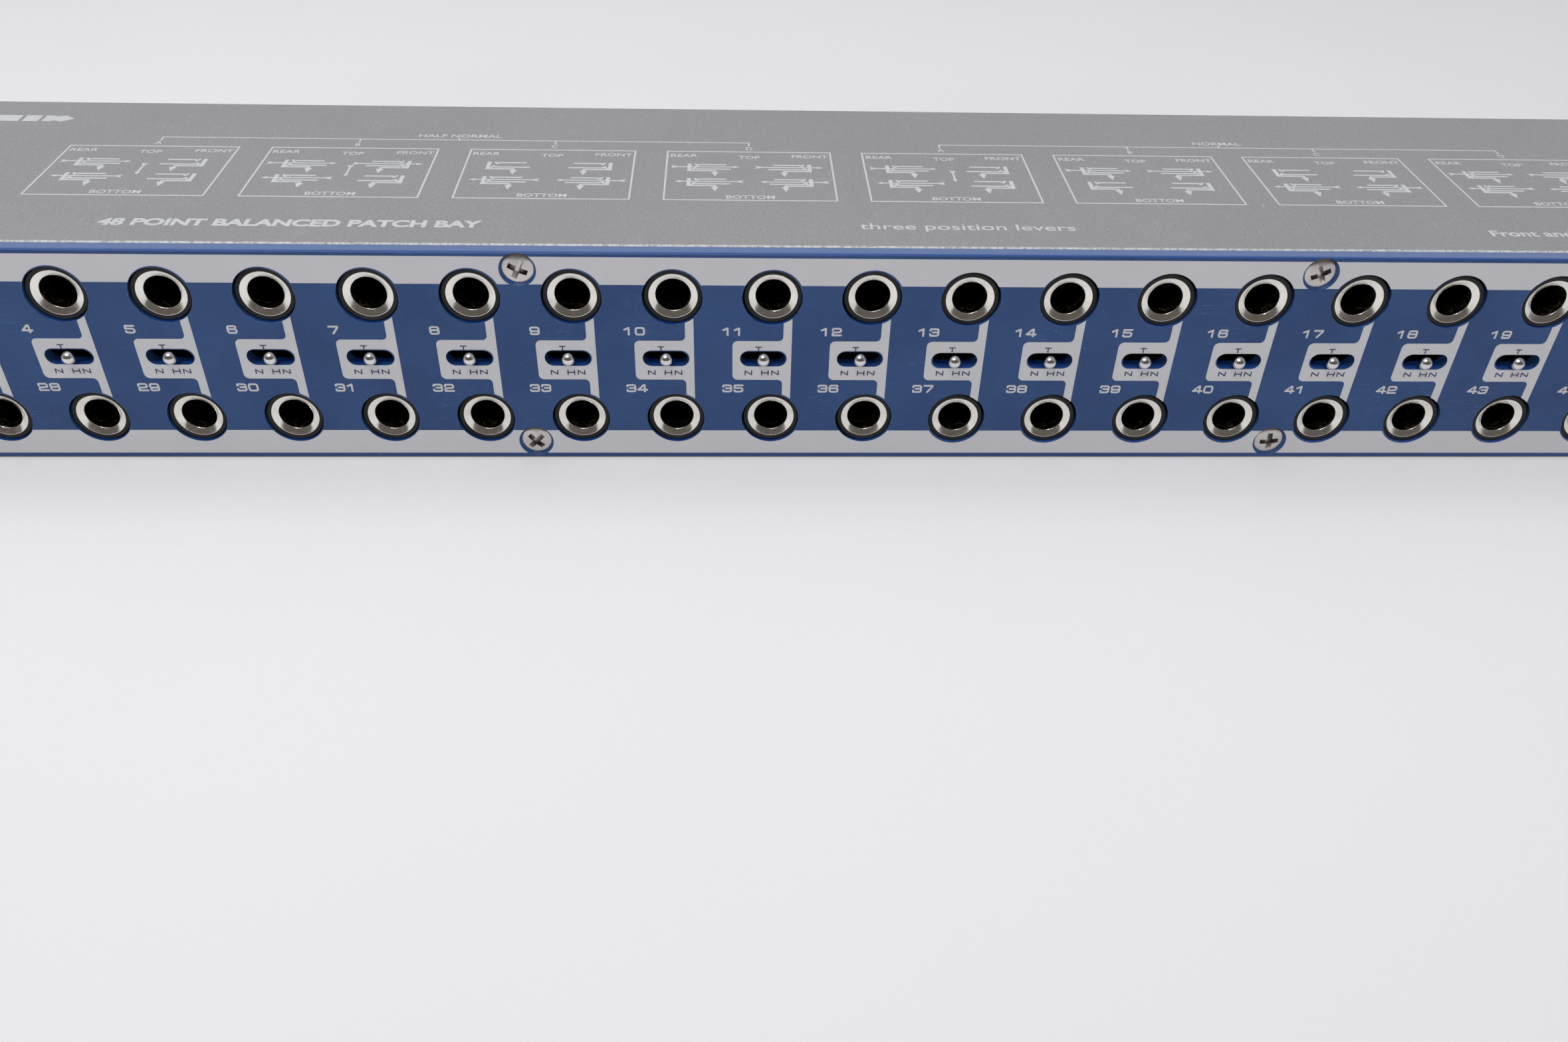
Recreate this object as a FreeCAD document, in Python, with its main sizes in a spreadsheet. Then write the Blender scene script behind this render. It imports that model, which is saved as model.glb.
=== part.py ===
import math
import os
import re

import FreeCAD
import Part
import Sketcher
from FreeCAD import Placement, Rotation, Vector

# Rack-mount audio patch bay, one rack unit high: two rows of jack sockets on the front, the same
# sockets on the back, and a three-position lever switch for each column.
# Frame: X to the right seen from the front, Y from the front to the back, Z up. The origin is the
# centre of the rack slots, on the back face of the front panel, where it seats on the rack rails.

doc = FreeCAD.newDocument("patch_bay")
sheet = doc.addObject("Spreadsheet::Sheet", "sizes")

DRIVING_SIZES = [
    # front panel
    ("panel_width", 482.6, "width of the front panel, a 19 inch rack"),
    ("panel_height", 44.0, "height of the front panel, one rack unit less clearance"),
    ("panel_thick", 2.9, "thickness of the front panel plate"),
    ("panel_edge", 0.4, "rounding of the front panel's outer edges"),
    ("rack_slot_x", 232.55, "rack slot centre from the middle, across"),
    ("rack_slot_z", 15.875, "rack slot centre from the middle, up and down"),
    ("rack_slot_high", 6.8, "height of a rack slot"),
    ("rack_slot_long", 10.3, "length of a rack slot"),
    # jack and switch columns
    ("column_count", 24, "columns of sockets"),
    ("column_pitch", 18.19, "distance between columns"),
    ("row_lift", 0.3, "how far the rows lie above the panel's middle"),
    ("jack_row", 13.0, "jack row from the rows' middle"),
    ("screw_row", 18.45, "screw row from the rows' middle"),
    ("jack_hole_r", 5.5, "radius of a socket hole in a panel"),
    ("board_shift", 0.15, "how far each jack board sits off its nominal place"),
    # chassis
    ("body_half_width", 223.5, "half width of the chassis"),
    ("body_half_height", 22.0, "half height of the chassis"),
    ("body_depth", 66.9, "depth of the chassis behind the front panel"),
    ("sheet_thick", 1.0, "thickness of the chassis and cover sheet"),
    ("sheet_gap", 0.1, "gap between sheets that overlap"),
    ("sheet_bend", 0.8, "outside radius of the cover's bends"),
    ("tab_width", 7.0, "width of a screw tab"),
    ("tab_drop", 6.2, "how far a screw tab reaches from its sheet"),
    ("lip_drop", 1.6, "how far the cover's front lip reaches down"),
    ("flange_drop", 9.0, "how far the cover's side flanges reach down"),
    ("rear_thick", 1.2, "thickness of the rear panel"),
    # jacks, measured inward from the face of their nose
    ("nose_r", 5.25, "radius of a jack's nose"),
    ("nose_sink", 0.4, "how far a front jack's nose lies behind the panel's face"),
    ("nose_long", 3.8, "length of a jack's nose"),
    ("jack_half_width", 7.3, "half width of a jack housing"),
    ("jack_half_height", 6.9, "half height of a jack housing"),
    ("jack_long", 32.4, "length of a jack from its nose to its back"),
    ("jack_bore_r", 3.9, "radius of the bore in a jack housing"),
    ("jack_bore_deep", 31.6, "depth of the bore in a jack housing"),
    ("channel_half", 1.5, "half width of a channel for a contact spring"),
    ("channel_reach", 6.2, "how far a channel reaches from the bore's axis"),
    ("channel_start", 8.9, "where the channels start behind the nose"),
    # ferrules
    ("ferrule_rim_r", 4.5, "radius of a ferrule's rim"),
    ("ferrule_rim_deep", 1.2, "thickness of a ferrule's rim"),
    ("ferrule_rim_gap", 0.03, "gap around a ferrule's rim in its seat"),
    ("ferrule_tube_r", 3.88, "outer radius of a ferrule's tube"),
    ("ferrule_long", 8.5, "length of a ferrule"),
    ("plug_bore_r", 3.2, "radius of the bore that guides a 6.35 mm plug"),
    ("ferrule_mouth_r", 4.35, "radius of a ferrule's conical mouth"),
    ("ferrule_mouth_deep", 0.55, "depth of a ferrule's conical mouth"),
    # contact springs
    ("spring_thick", 0.3, "thickness of a contact spring"),
    ("spring_wide", 2.0, "width of a contact spring"),
    ("spring_root", 5.7, "base of a spring from the bore's axis"),
    ("spring_touch", 3.45, "contact point of a spring from the bore's axis"),
    ("spring_end", 4.65, "free end of a spring from the bore's axis"),
    ("spring_slope", 5.5, "length of a spring's slope in to its contact"),
    ("spring_rise", 2.4, "length of a spring's slope out from its contact"),
    ("spring_flat", 1.0, "length of a spring's free end"),
    ("tip_contact", 4.6, "tip contact from a jack's back"),
    ("ring_contact", 11.6, "ring contact from a jack's back"),
    ("sleeve_contact", 17.2, "sleeve contact from a jack's back"),
    ("switch_contact", 4.15, "switching contact from the bore's axis"),
    ("switch_contact_long", 1.7, "straight length of a switching contact"),
    ("switch_contact_tip", 0.5, "length of a switching contact's turned tip"),
    ("switch_contact_turn", 0.1, "how far a switching contact's tip turns in"),
    # boards
    ("board_thick", 1.6, "thickness of a circuit board"),
    ("board_half_height", 19.5, "half height of a jack board"),
    ("board_end", 217.9, "outer end of a board from the middle"),
    ("board_inner", 0.6, "inner end of a board from the middle"),
    ("switch_board_front", 15.5, "front face of the switch board"),
    ("switch_board_half_height", 5.1, "half height of the switch board"),
    ("rail_half_height", 4.0, "half height of the board rail"),
    ("rail_foot_thick", 1.2, "thickness of the board rail's feet"),
    ("rail_foot_long", 12.0, "length of the board rail's feet"),
    ("link_strip_z", 10.0, "link strip from the rows' middle"),
    ("strip_high", 2.5, "height of a link strip"),
    ("strip_gap", 0.4, "gap between a link strip and the boards"),
    ("link_pin_r", 0.45, "radius of a link pin"),
    # lever switches
    ("lever_offset", -1.63, "lever from its column's axis"),
    ("lever_lift", 0.5, "lever above the panel's middle"),
    ("slot_width", 8.65, "width of a lever slot"),
    ("slot_height", 3.3, "height of a lever slot"),
    ("lever_pivot", 8.0, "lever pivot behind the panel's back face"),
    ("lever_reach", 11.25, "middle of the lever's ball ahead of the pivot"),
    ("lever_ball_r", 1.28, "radius of the lever's ball"),
    ("lever_neck_r", 0.72, "radius of the lever's neck"),
    ("lever_root_r", 0.95, "radius of the lever near its pivot"),
    ("lever_boss_r", 1.7, "radius of the lever's pivot boss"),
    ("lever_tail", 3.6, "tail of the lever behind the pivot"),
    ("pivot_pin_r", 0.5, "radius of a lever's pivot pin"),
    ("pivot_gap", 0.04, "radial clearance of a lever on its pin"),
    ("switch_half_width", 5.6, "half width of a switch housing"),
    ("switch_half_height", 4.0, "half height of a switch housing"),
    ("switch_front", 5.0, "front face of a switch housing"),
    ("switch_back", 13.7, "back face of a switch housing"),
    ("switch_well_x", 3.9, "half width of the well in a switch housing"),
    ("switch_well_z", 1.9, "half height of the well in a switch housing"),
    ("switch_well_end", 12.9, "bottom of the well in a switch housing"),
    ("pivot_pin_cover", 0.4, "wall of the housing beyond each end of a pivot pin"),
    ("frame_thick", 0.35, "thickness of a switch's metal frame"),
    ("frame_short", 2.0, "how far a switch's frame stops ahead of its housing's back"),
    ("terminal_pitch", 4.0, "distance between a switch's terminals, across"),
    ("terminal_row", 2.2, "row of terminals from a switch's middle"),
    ("terminal_wide", 0.9, "width of a terminal"),
    ("terminal_thick", 0.5, "thickness of a terminal"),
    # screws
    ("screw_r", 1.5, "radius of an M3 screw"),
    ("screw_hole_r", 1.7, "radius of an M3 clearance hole"),
    ("tapped_hole_r", 1.52, "radius of an M3 tapped hole"),
    ("countersink_r", 3.3, "radius of a countersink at the panel's face"),
    ("flat_head_r", 3.0, "radius of a countersunk head"),
    ("flat_head_gap", 0.02, "gap between a countersunk head and its countersink"),
    ("flat_screw_long", 8.0, "length of a countersunk screw"),
    ("pan_head_r", 2.7, "radius of a pan head"),
    ("pan_head_high", 1.6, "height of a pan head"),
    ("rear_screw_long", 4.2, "length of a rear panel screw under its head"),
    ("side_screw_long", 3.5, "length of a side screw under its head"),
    ("board_screw_long", 2.9, "length of a board screw under its head"),
    ("board_screw_lift", 0.0, "board screws above the panel's middle"),
    ("cover_screw_inset", 15.0, "cover screws from the ends of the chassis"),
    ("cover_screw_drop", 5.5, "cover screws below the top"),
    ("rail_screw_inset", 4.0, "rail end screws from the end of the rail's feet"),
    ("recess_wide", 0.75, "width of a cross recess"),
    ("recess_long", 3.2, "length of a cross recess"),
    ("recess_deep", 1.1, "depth of a cross recess"),
]


def fill_sheet():
    for row, (alias, value, meaning) in enumerate(DRIVING_SIZES, start=1):
        sheet.set(f"A{row}", meaning)
        sheet.set(f"B{row}", str(value))
        sheet.setAlias(f"B{row}", alias)
    doc.recompute()


def size(text):
    """The value of a formula whose words are aliases on the sheet."""
    return float(sheet.evalExpression(text))


def bound(text):
    """The same formula, as another object of the document has to write it."""
    return re.sub(r"[a-z]\w*", lambda word: "sizes." + word.group(), text)


# ---- helpers: primitives and booleans bound to the sheet ----


def primitive(kind, name, place, turn=None, **sizes):
    """A Part primitive whose sizes and place are formulas on the sheet."""
    piece = doc.addObject("Part::" + kind, name)
    piece.Placement = Placement(Vector(), turn or Rotation())
    for prop, text in sizes.items():
        piece.setExpression(prop, bound(text))
    for axis, text in zip("xyz", place):
        piece.setExpression("Placement.Base." + axis, bound(text))
    return piece


def box(name, low, high):
    """A box between two corners, each given as three formulas."""
    spans = [f"({b}) - ({a})" for a, b in zip(low, high)]
    return primitive("Box", name, low, Length=spans[0], Width=spans[1], Height=spans[2])


TO_BACK = Rotation(Vector(1, 0, 0), -90)  # turns a primitive's own Z axis to +Y
TO_RIGHT = Rotation(Vector(0, 1, 0), 90)  # turns a primitive's own Z axis to +X


def rod(name, place, radius, length, turn=TO_BACK):
    return primitive("Cylinder", name, place, turn, Radius=radius, Height=length)


def cone(name, place, first, second, length, turn=TO_BACK):
    return primitive("Cone", name, place, turn, Radius1=first, Radius2=second, Height=length)


def join(name, pieces):
    whole = doc.addObject("Part::MultiFuse", name)
    whole.Shapes = pieces
    whole.Refine = True
    return whole


def carve(name, base, tools):
    result = doc.addObject("Part::Cut", name)
    result.Base = base
    result.Tool = tools[0] if len(tools) == 1 else join(name + "_tools", tools)
    return result


# ---- helpers: sketches bound to the sheet ----


def new_sketch(body, name, role):
    plane = next(item for item in body.Origin.OriginFeatures if item.Role == role)
    sketch = body.newObject("Sketcher::SketchObject", name)
    sketch.AttachmentSupport = [(plane, "")]
    sketch.MapMode = "FlatFace"
    return sketch


def hold_point(sketch, edge, point, across, up):
    """Bind one point of an edge to two formulas, measured from the sketch's origin."""
    for kind, axis, text in (("DistanceX", -2, across), ("DistanceY", -1, up)):
        if text == "0":
            sketch.addConstraint(Sketcher.Constraint("PointOnObject", edge, point, axis))
        else:
            rule = Sketcher.Constraint(kind, -1, 1, edge, point, size(text))
            number = sketch.addConstraint(rule)
            sketch.setExpression(f"Constraints[{number}]", bound(text))


def hold_radius(sketch, edge, text):
    number = sketch.addConstraint(Sketcher.Constraint("Radius", edge, size(text)))
    sketch.setExpression(f"Constraints[{number}]", bound(text))


def draw_polygon(sketch, corners):
    """A closed outline through corners that are pairs of formulas."""
    points = [Vector(size(across), size(up), 0) for across, up in corners]
    edges = [
        sketch.addGeometry(Part.LineSegment(start, end), False)
        for start, end in zip(points, points[1:] + points[:1])
    ]
    for before, edge in zip([edges[-1]] + edges, edges):
        sketch.addConstraint(Sketcher.Constraint("Coincident", before, 2, edge, 1))
    for edge, (across, up) in zip(edges, corners):
        hold_point(sketch, edge, 1, across, up)


def draw_circle(sketch, across, up, radius):
    middle = Vector(size(across), size(up), 0)
    circle = Part.Circle(middle, Vector(0, 0, 1), size(radius))
    edge = sketch.addGeometry(circle, False)
    hold_point(sketch, edge, 3, across, up)
    hold_radius(sketch, edge, radius)


def draw_slot(sketch, across, up, long, high):
    """A round-ended slot that lies across, about a middle point."""
    reach = f"(({long}) - ({high})) / 2"
    radius = f"({high}) / 2"
    r, dx = size(radius), size(reach)
    x, z = size(across), size(up)
    arcs = []
    for side, start in ((1, -math.pi / 2), (-1, math.pi / 2)):
        middle = Part.Circle(Vector(x + side * dx, z, 0), Vector(0, 0, 1), r)
        arc = sketch.addGeometry(Part.ArcOfCircle(middle, start, start + math.pi), False)
        hold_point(sketch, arc, 3, f"({across}) + {side} * {reach}", up)
        hold_radius(sketch, arc, radius)
        for end in (1, 2):
            sketch.addConstraint(Sketcher.Constraint("Vertical", arc, 3, arc, end))
        arcs.append(arc)
    right, left = arcs
    top = Part.LineSegment(Vector(x + dx, z + r, 0), Vector(x - dx, z + r, 0))
    low = Part.LineSegment(Vector(x - dx, z - r, 0), Vector(x + dx, z - r, 0))
    for line, first, second in ((top, right, left), (low, left, right)):
        edge = sketch.addGeometry(line, False)
        sketch.addConstraint(Sketcher.Constraint("Coincident", first, 2, edge, 1))
        sketch.addConstraint(Sketcher.Constraint("Coincident", edge, 2, second, 1))


def pad(body, sketch, name, length, backward=False):
    feature = body.newObject("PartDesign::Pad", name)
    feature.Profile = sketch
    feature.setExpression("Length", bound(length))
    feature.Reversed = backward
    doc.recompute()
    return feature


def pocket_through(body, sketch, name):
    """A pocket right through the body, both ways from its sketch."""
    volume_before = body.Shape.Volume
    feature = body.newObject("PartDesign::Pocket", name)
    feature.Profile = sketch
    feature.Type = "ThroughAll"
    feature.SideType = "Symmetric"
    doc.recompute()
    if body.Shape.Volume >= volume_before:
        raise RuntimeError(f"{name} cuts nothing")
    return feature


def repeat_columns(body, sketch, feature, name):
    """Repeat a feature of the first column across all the columns."""
    pattern = body.newObject("PartDesign::LinearPattern", name)
    pattern.Originals = [feature]
    pattern.Direction = (sketch, ["H_Axis"])
    pattern.setExpression("Length", bound("(column_count - 1) * column_pitch"))
    pattern.setExpression("Occurrences", bound("column_count"))
    body.Tip = pattern
    doc.recompute()
    return pattern


def copies(label, master, places):
    """Separate solids of one shape at several places, as one node."""
    group = doc.addObject("Part::Feature", label)
    solids = []
    for place in places:
        solid = master.Shape.copy()
        solid.Placement = place.multiply(solid.Placement)
        solids.append(solid)
    group.Shape = Part.makeCompound(solids)
    return group


# ---- places that the pieces share ----

fill_sheet()

COLUMNS = range(1, int(size("column_count")) + 1)
HALVES = {"left": -1, "right": 1}
SCREW_COLUMNS = ("-12", "-4", "4", "12")
SCREW_HEIGHTS = {"upper": "row_lift + screw_row", "lower": "row_lift - screw_row"}
JACK_NOSE = "nose_sink - panel_thick"
JACK_BOARD_FRONT = f"({JACK_NOSE}) + jack_long"
REAR_JACK_NOSE = "body_depth - rear_thick - sheet_thick - sheet_gap + nose_long"
REAR_BOARD_FRONT = f"({REAR_JACK_NOSE}) - jack_long - board_thick"
BOARD_GAP_FRONT = f"({JACK_BOARD_FRONT}) + board_thick"
TRAY_OUTSIDE = "body_half_width - sheet_thick - sheet_gap"
COVER_SCREW_Y = ("cover_screw_inset", "body_depth - cover_screw_inset")
COVER_SCREW_Z = "body_half_height - cover_screw_drop"
RAIL_SCREW_Y = f"{BOARD_GAP_FRONT} + rail_foot_long - rail_screw_inset"
BOARD_SCREW_GAPS = {"left": (1, 4, 8, 11), "right": (13, 16, 20, 23)}
HALF_TURN = Rotation(Vector(0, 0, 1), 180)
CROSS_STEP = 37  # degrees between the crosses of one screw and the next
CLOSE = 1e-6  # millimetres within which two places are the same


def column_x(column):
    """The middle of a column, from the panel's middle."""
    return (column - (size("column_count") + 1) / 2) * size("column_pitch")


def shift_of(column):
    """The left boards sit a little right and high, and the right boards left and low."""
    return size("board_shift") if column_x(column) < 0 else -size("board_shift")


def jack_places(back):
    """Where the jacks of one panel stand, both rows, with +Y of a jack running inward."""
    places = []
    nose = size(REAR_JACK_NOSE) if back else size(JACK_NOSE)
    for row in (1, -1):
        height = size("row_lift") + row * size("jack_row")
        for column in COLUMNS:
            shift = shift_of(column)
            spot = Vector(column_x(column) + shift, nose, height + shift)
            places.append(Placement(spot, HALF_TURN if back else Rotation()))
    return places


def lever_places():
    """The pivots of the levers, one for each column."""
    places = []
    for column in COLUMNS:
        shift = shift_of(column)
        across = column_x(column) + size("lever_offset") + shift
        spot = Vector(across, size("lever_pivot"), size("lever_lift") + shift)
        places.append(Placement(spot, Rotation()))
    return places


def gap_x(column):
    """The middle of the gap between the switches of a column and of the next one."""
    return column_x(column) + size("column_pitch / 2 + lever_offset")


# ---- panels ----


def make_front_panel():
    body = doc.addObject("PartDesign::Body", "front_panel")
    outline = new_sketch(body, "panel_outline", "XZ_Plane")
    half_x, half_z = "panel_width / 2", "panel_height / 2"
    corners = [("-" + half_x, "-" + half_z), (half_x, "-" + half_z)]
    corners += [(half_x, half_z), ("-" + half_x, half_z)]
    draw_polygon(outline, corners)
    plate = pad(body, outline, "panel_plate", "panel_thick")

    face_y = -size("panel_thick")
    front_edges = [
        f"Edge{number}"
        for number, edge in enumerate(plate.Shape.Edges, start=1)
        if all(abs(corner.Y - face_y) < CLOSE for corner in edge.Vertexes)
    ]
    soft = body.newObject("PartDesign::Fillet", "panel_soft_edges")
    soft.Base = (plate, front_edges)
    soft.setExpression("Radius", bound("panel_edge"))
    doc.recompute()

    first_x = "(1 - column_count) / 2 * column_pitch"
    column = new_sketch(body, "column_openings_sketch", "XZ_Plane")
    draw_circle(column, first_x, "row_lift + jack_row", "jack_hole_r")
    draw_circle(column, first_x, "row_lift - jack_row", "jack_hole_r")
    draw_slot(column, f"{first_x} + lever_offset", "lever_lift", "slot_width", "slot_height")
    openings = pocket_through(body, column, "column_openings")
    repeat_columns(body, column, openings, "all_column_openings")

    rack = new_sketch(body, "rack_slots_sketch", "XZ_Plane")
    for x in ("-rack_slot_x", "rack_slot_x"):
        for z in ("-rack_slot_z", "rack_slot_z"):
            draw_slot(rack, x, z, "rack_slot_long", "rack_slot_high")
    pocket_through(body, rack, "rack_slots")

    screws = new_sketch(body, "screw_holes_sketch", "XZ_Plane")
    for x in SCREW_COLUMNS:
        for z in SCREW_HEIGHTS.values():
            draw_circle(screws, f"{x} * column_pitch", z, "screw_hole_r")
    pocket_through(body, screws, "screw_holes")
    return body


def make_countersunk_panel(plate):
    """The front panel with a countersink for each of its screws."""
    sinks = []
    depth = "countersink_r - screw_hole_r"
    for x in SCREW_COLUMNS:
        for level, z in SCREW_HEIGHTS.items():
            place = (f"{x} * column_pitch", "-panel_thick", z)
            name = f"countersink_{level}_{x.replace('-', 'minus_')}"
            sinks.append(cone(name, place, "countersink_r", "screw_hole_r", depth))
    return carve("front_panel_finished", plate, sinks)


def make_rear_panel():
    body = doc.addObject("PartDesign::Body", "rear_panel")
    outline = new_sketch(body, "rear_outline", "XZ_Plane")
    half_x = f"{TRAY_OUTSIDE} - sheet_thick - sheet_gap"
    half_z = "body_half_height - sheet_thick - sheet_gap"
    corners = [(f"-({half_x})", f"-({half_z})"), (half_x, f"-({half_z})")]
    corners += [(half_x, half_z), (f"-({half_x})", half_z)]
    draw_polygon(outline, corners)
    pad(body, outline, "rear_plate", "rear_thick")
    first_x = "(1 - column_count) / 2 * column_pitch"
    column = new_sketch(body, "rear_openings_sketch", "XZ_Plane")
    draw_circle(column, first_x, "row_lift + jack_row", "jack_hole_r")
    draw_circle(column, first_x, "row_lift - jack_row", "jack_hole_r")
    openings = pocket_through(body, column, "rear_openings")
    repeat_columns(body, column, openings, "all_rear_openings")
    screws = new_sketch(body, "rear_screws_sketch", "XZ_Plane")
    for x in SCREW_COLUMNS:
        for z in SCREW_HEIGHTS.values():
            draw_circle(screws, f"{x} * column_pitch", z, "screw_hole_r")
    pocket_through(body, screws, "rear_screw_holes")
    body.setExpression("Placement.Base.y", bound("body_depth"))
    return body


# ---- chassis tray and top cover ----


def screw_tabs(prefix, upper, front):
    """Tabs of a sheet's end for the panel screws: behind the front panel or ahead of the rear."""
    low_y = "0" if front else "body_depth - rear_thick - sheet_thick"
    inner = "body_half_height - sheet_thick"
    tabs = []
    for x in SCREW_COLUMNS:
        middle = f"{x} * column_pitch"
        left, right = f"{middle} - tab_width / 2", f"{middle} + tab_width / 2"
        if x == "12":
            right = f"{TRAY_OUTSIDE} - sheet_thick - sheet_gap"
        if x == "-12":
            left = f"-({TRAY_OUTSIDE} - sheet_thick - sheet_gap)"
        low, high = ("-(" + inner + ")", "-(" + inner + " - tab_drop)")
        if upper:
            low, high = (inner + " - tab_drop", inner)
        name = f"{prefix}_tab_{x.replace('-', 'minus_')}"
        tabs.append(box(name, (left, low_y, low), (right, f"{low_y} + sheet_thick", high)))
    return tabs


def tab_holes(prefix, upper, front):
    low_y = "-sheet_gap" if front else "body_depth - rear_thick - sheet_thick - sheet_gap"
    z = SCREW_HEIGHTS["upper" if upper else "lower"]
    length = "sheet_thick + 2 * sheet_gap"
    return [
        rod(f"{prefix}_hole_{x.replace('-', 'minus_')}", (f"{x} * column_pitch", low_y, z),
            "tapped_hole_r", length)
        for x in SCREW_COLUMNS
    ]


def side_holes(prefix, radius, start, length, heights_and_depths):
    """Holes along X through both side walls; start is the inner end on the right side."""
    holes = []
    for number, (y, z) in enumerate(heights_and_depths):
        holes.append(rod(f"{prefix}_right_{number}", (start, y, z), radius, length, TO_RIGHT))
        place = (f"-({start}) - ({length})", y, z)
        holes.append(rod(f"{prefix}_left_{number}", place, radius, length, TO_RIGHT))
    return holes


def make_chassis_tray():
    floor = "-body_half_height"
    floor_top = "sheet_thick - body_half_height"
    back = "body_depth"
    pieces = [
        box("tray_floor", (f"-({TRAY_OUTSIDE})", "0", floor), (TRAY_OUTSIDE, back, floor_top))
    ]
    top = "body_half_height - sheet_thick - sheet_gap"
    for side, sign in HALVES.items():
        outer, inner = TRAY_OUTSIDE, f"{TRAY_OUTSIDE} - sheet_thick"
        low_x, high_x = (inner, outer) if sign > 0 else (f"-({outer})", f"-({inner})")
        pieces.append(box(f"tray_{side}", (low_x, "0", floor), (high_x, back, top)))
    pieces += screw_tabs("tray_front", False, True) + screw_tabs("tray_rear", False, False)
    holes = tab_holes("tray_front", False, True) + tab_holes("tray_rear", False, False)
    wall = f"{TRAY_OUTSIDE} - sheet_thick - sheet_gap"
    through = "sheet_thick + 2 * sheet_gap"
    cover_screws = [(y, COVER_SCREW_Z) for y in COVER_SCREW_Y]
    holes += side_holes("tray_cover_hole", "tapped_hole_r", wall, through, cover_screws)
    rail_screws = [(RAIL_SCREW_Y, "lever_lift")]
    holes += side_holes("tray_rail_hole", "screw_hole_r", wall, through, rail_screws)
    return carve("chassis_tray", join("tray_sheets", pieces), holes)


def make_top_cover():
    under = "body_half_height - sheet_thick"
    wide = "body_half_width"
    high = (wide, "body_depth", "body_half_height")
    pieces = [box("cover_plate", (f"-{wide}", "sheet_gap", under), high)]
    for side, sign in HALVES.items():
        inner = f"{wide} - sheet_thick"
        low_x, high_x = (inner, wide) if sign > 0 else (f"-{wide}", f"-({inner})")
        low = (low_x, "sheet_thick + 2 * sheet_gap", f"{under} - flange_drop")
        pieces.append(box(f"cover_flange_{side}", low, (high_x, "body_depth", "body_half_height")))
    lip_x = f"{TRAY_OUTSIDE} - sheet_thick - sheet_gap"
    low = (f"-({lip_x})", "sheet_gap", f"{under} - lip_drop")
    pieces.append(box("cover_lip", low, (lip_x, "sheet_thick", "body_half_height")))
    pieces += screw_tabs("cover_front", True, True) + screw_tabs("cover_rear", True, False)
    sheets = join("cover_sheets", pieces)
    doc.recompute()

    bend = doc.addObject("Part::Fillet", "cover_bends")
    bend.Base = sheets
    radius = size("sheet_bend")
    bend.Edges = [
        (number, radius, radius)
        for number, edge in enumerate(sheets.Shape.Edges, start=1)
        if is_cover_bend(edge)
    ]
    doc.recompute()
    holes = tab_holes("cover_front", True, True) + tab_holes("cover_rear", True, False)
    through = "sheet_thick + 2 * sheet_gap"
    cover_screws = [(y, COVER_SCREW_Z) for y in COVER_SCREW_Y]
    start = "body_half_width - sheet_thick - sheet_gap"
    holes += side_holes("cover_side_hole", "screw_hole_r", start, through, cover_screws)
    return carve("top_cover", bend, holes)


def is_cover_bend(edge):
    """The outer edges of the cover's top: both sides and the front."""
    middle = edge.CenterOfMass
    on_top = abs(middle.z - size("body_half_height")) < CLOSE
    at_side = abs(abs(middle.x) - size("body_half_width")) < CLOSE
    at_front = abs(middle.y - size("sheet_gap")) < CLOSE
    return on_top and (at_side or at_front)


# ---- jacks: +Y runs inward from the face of the nose, the bore on the Y axis ----


def make_jack_housing():
    nose = rod("jack_nose", ("0", "0", "0"), "nose_r", "nose_long + 1")
    low = ("-jack_half_width", "nose_long", "-jack_half_height")
    block = box("jack_block", low, ("jack_half_width", "jack_long", "jack_half_height"))
    bore = rod("jack_bore", ("0", "0", "0"), "jack_bore_r", "jack_bore_deep")
    seat_r = "ferrule_rim_r + ferrule_rim_gap"
    seat = rod("jack_rim_seat", ("0", "0", "0"), seat_r, "ferrule_rim_deep")
    low = ("-channel_reach", "channel_start", "-channel_half")
    sides = box("jack_side_channels", low, ("channel_reach", "jack_long", "channel_half"))
    low = ("-channel_half", "channel_start", "-channel_reach")
    below = box("jack_low_channel", low, ("channel_half", "jack_long", "0"))
    return carve("jack_housing", join("jack_solid", [nose, block]), [bore, seat, sides, below])


def make_ferrule():
    body = doc.addObject("PartDesign::Body", "ferrule")
    outline = new_sketch(body, "ferrule_outline", "XY_Plane")
    corners = [
        ("ferrule_mouth_r", "0"),
        ("plug_bore_r", "ferrule_mouth_deep"),
        ("plug_bore_r", "ferrule_long"),
        ("ferrule_tube_r", "ferrule_long"),
        ("ferrule_tube_r", "ferrule_rim_deep"),
        ("ferrule_rim_r", "ferrule_rim_deep"),
        ("ferrule_rim_r", "0"),
    ]
    draw_polygon(outline, corners)
    turned = body.newObject("PartDesign::Revolution", "ferrule_turned")
    turned.Profile = outline
    turned.ReferenceAxis = (outline, ["V_Axis"])
    turned.Angle = 360
    doc.recompute()
    return body


def bent_strip(label, points, wide):
    """A leaf of even thickness along points in the X-Y plane, centred on Z = 0."""
    path = Part.makePolygon([Vector(x, y, -wide / 2) for x, y in points])
    outline = path.makeOffset2D(size("spring_thick") / 2, 0, False, False, False)
    strip = doc.addObject("Part::Feature", label)
    strip.Shape = Part.Face(outline).extrude(Vector(0, 0, wide))
    return strip


def make_spring(name):
    """A hairpin spring: from the board along the housing, back in to the plug, and out again."""
    root, touch, end = size("spring_root"), size("spring_touch"), size("spring_end")
    half = size("spring_thick") / 2
    contact = size(f"jack_long - {name}_contact")
    rise = contact + size("spring_rise")
    points = [
        (root, size("jack_long") - half),
        (root, contact - size("spring_slope")),
        (touch + half, contact),
        (end, rise),
        (end, rise + size("spring_flat")),
    ]
    return bent_strip(f"{name}_spring", points, size("spring_wide"))


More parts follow.
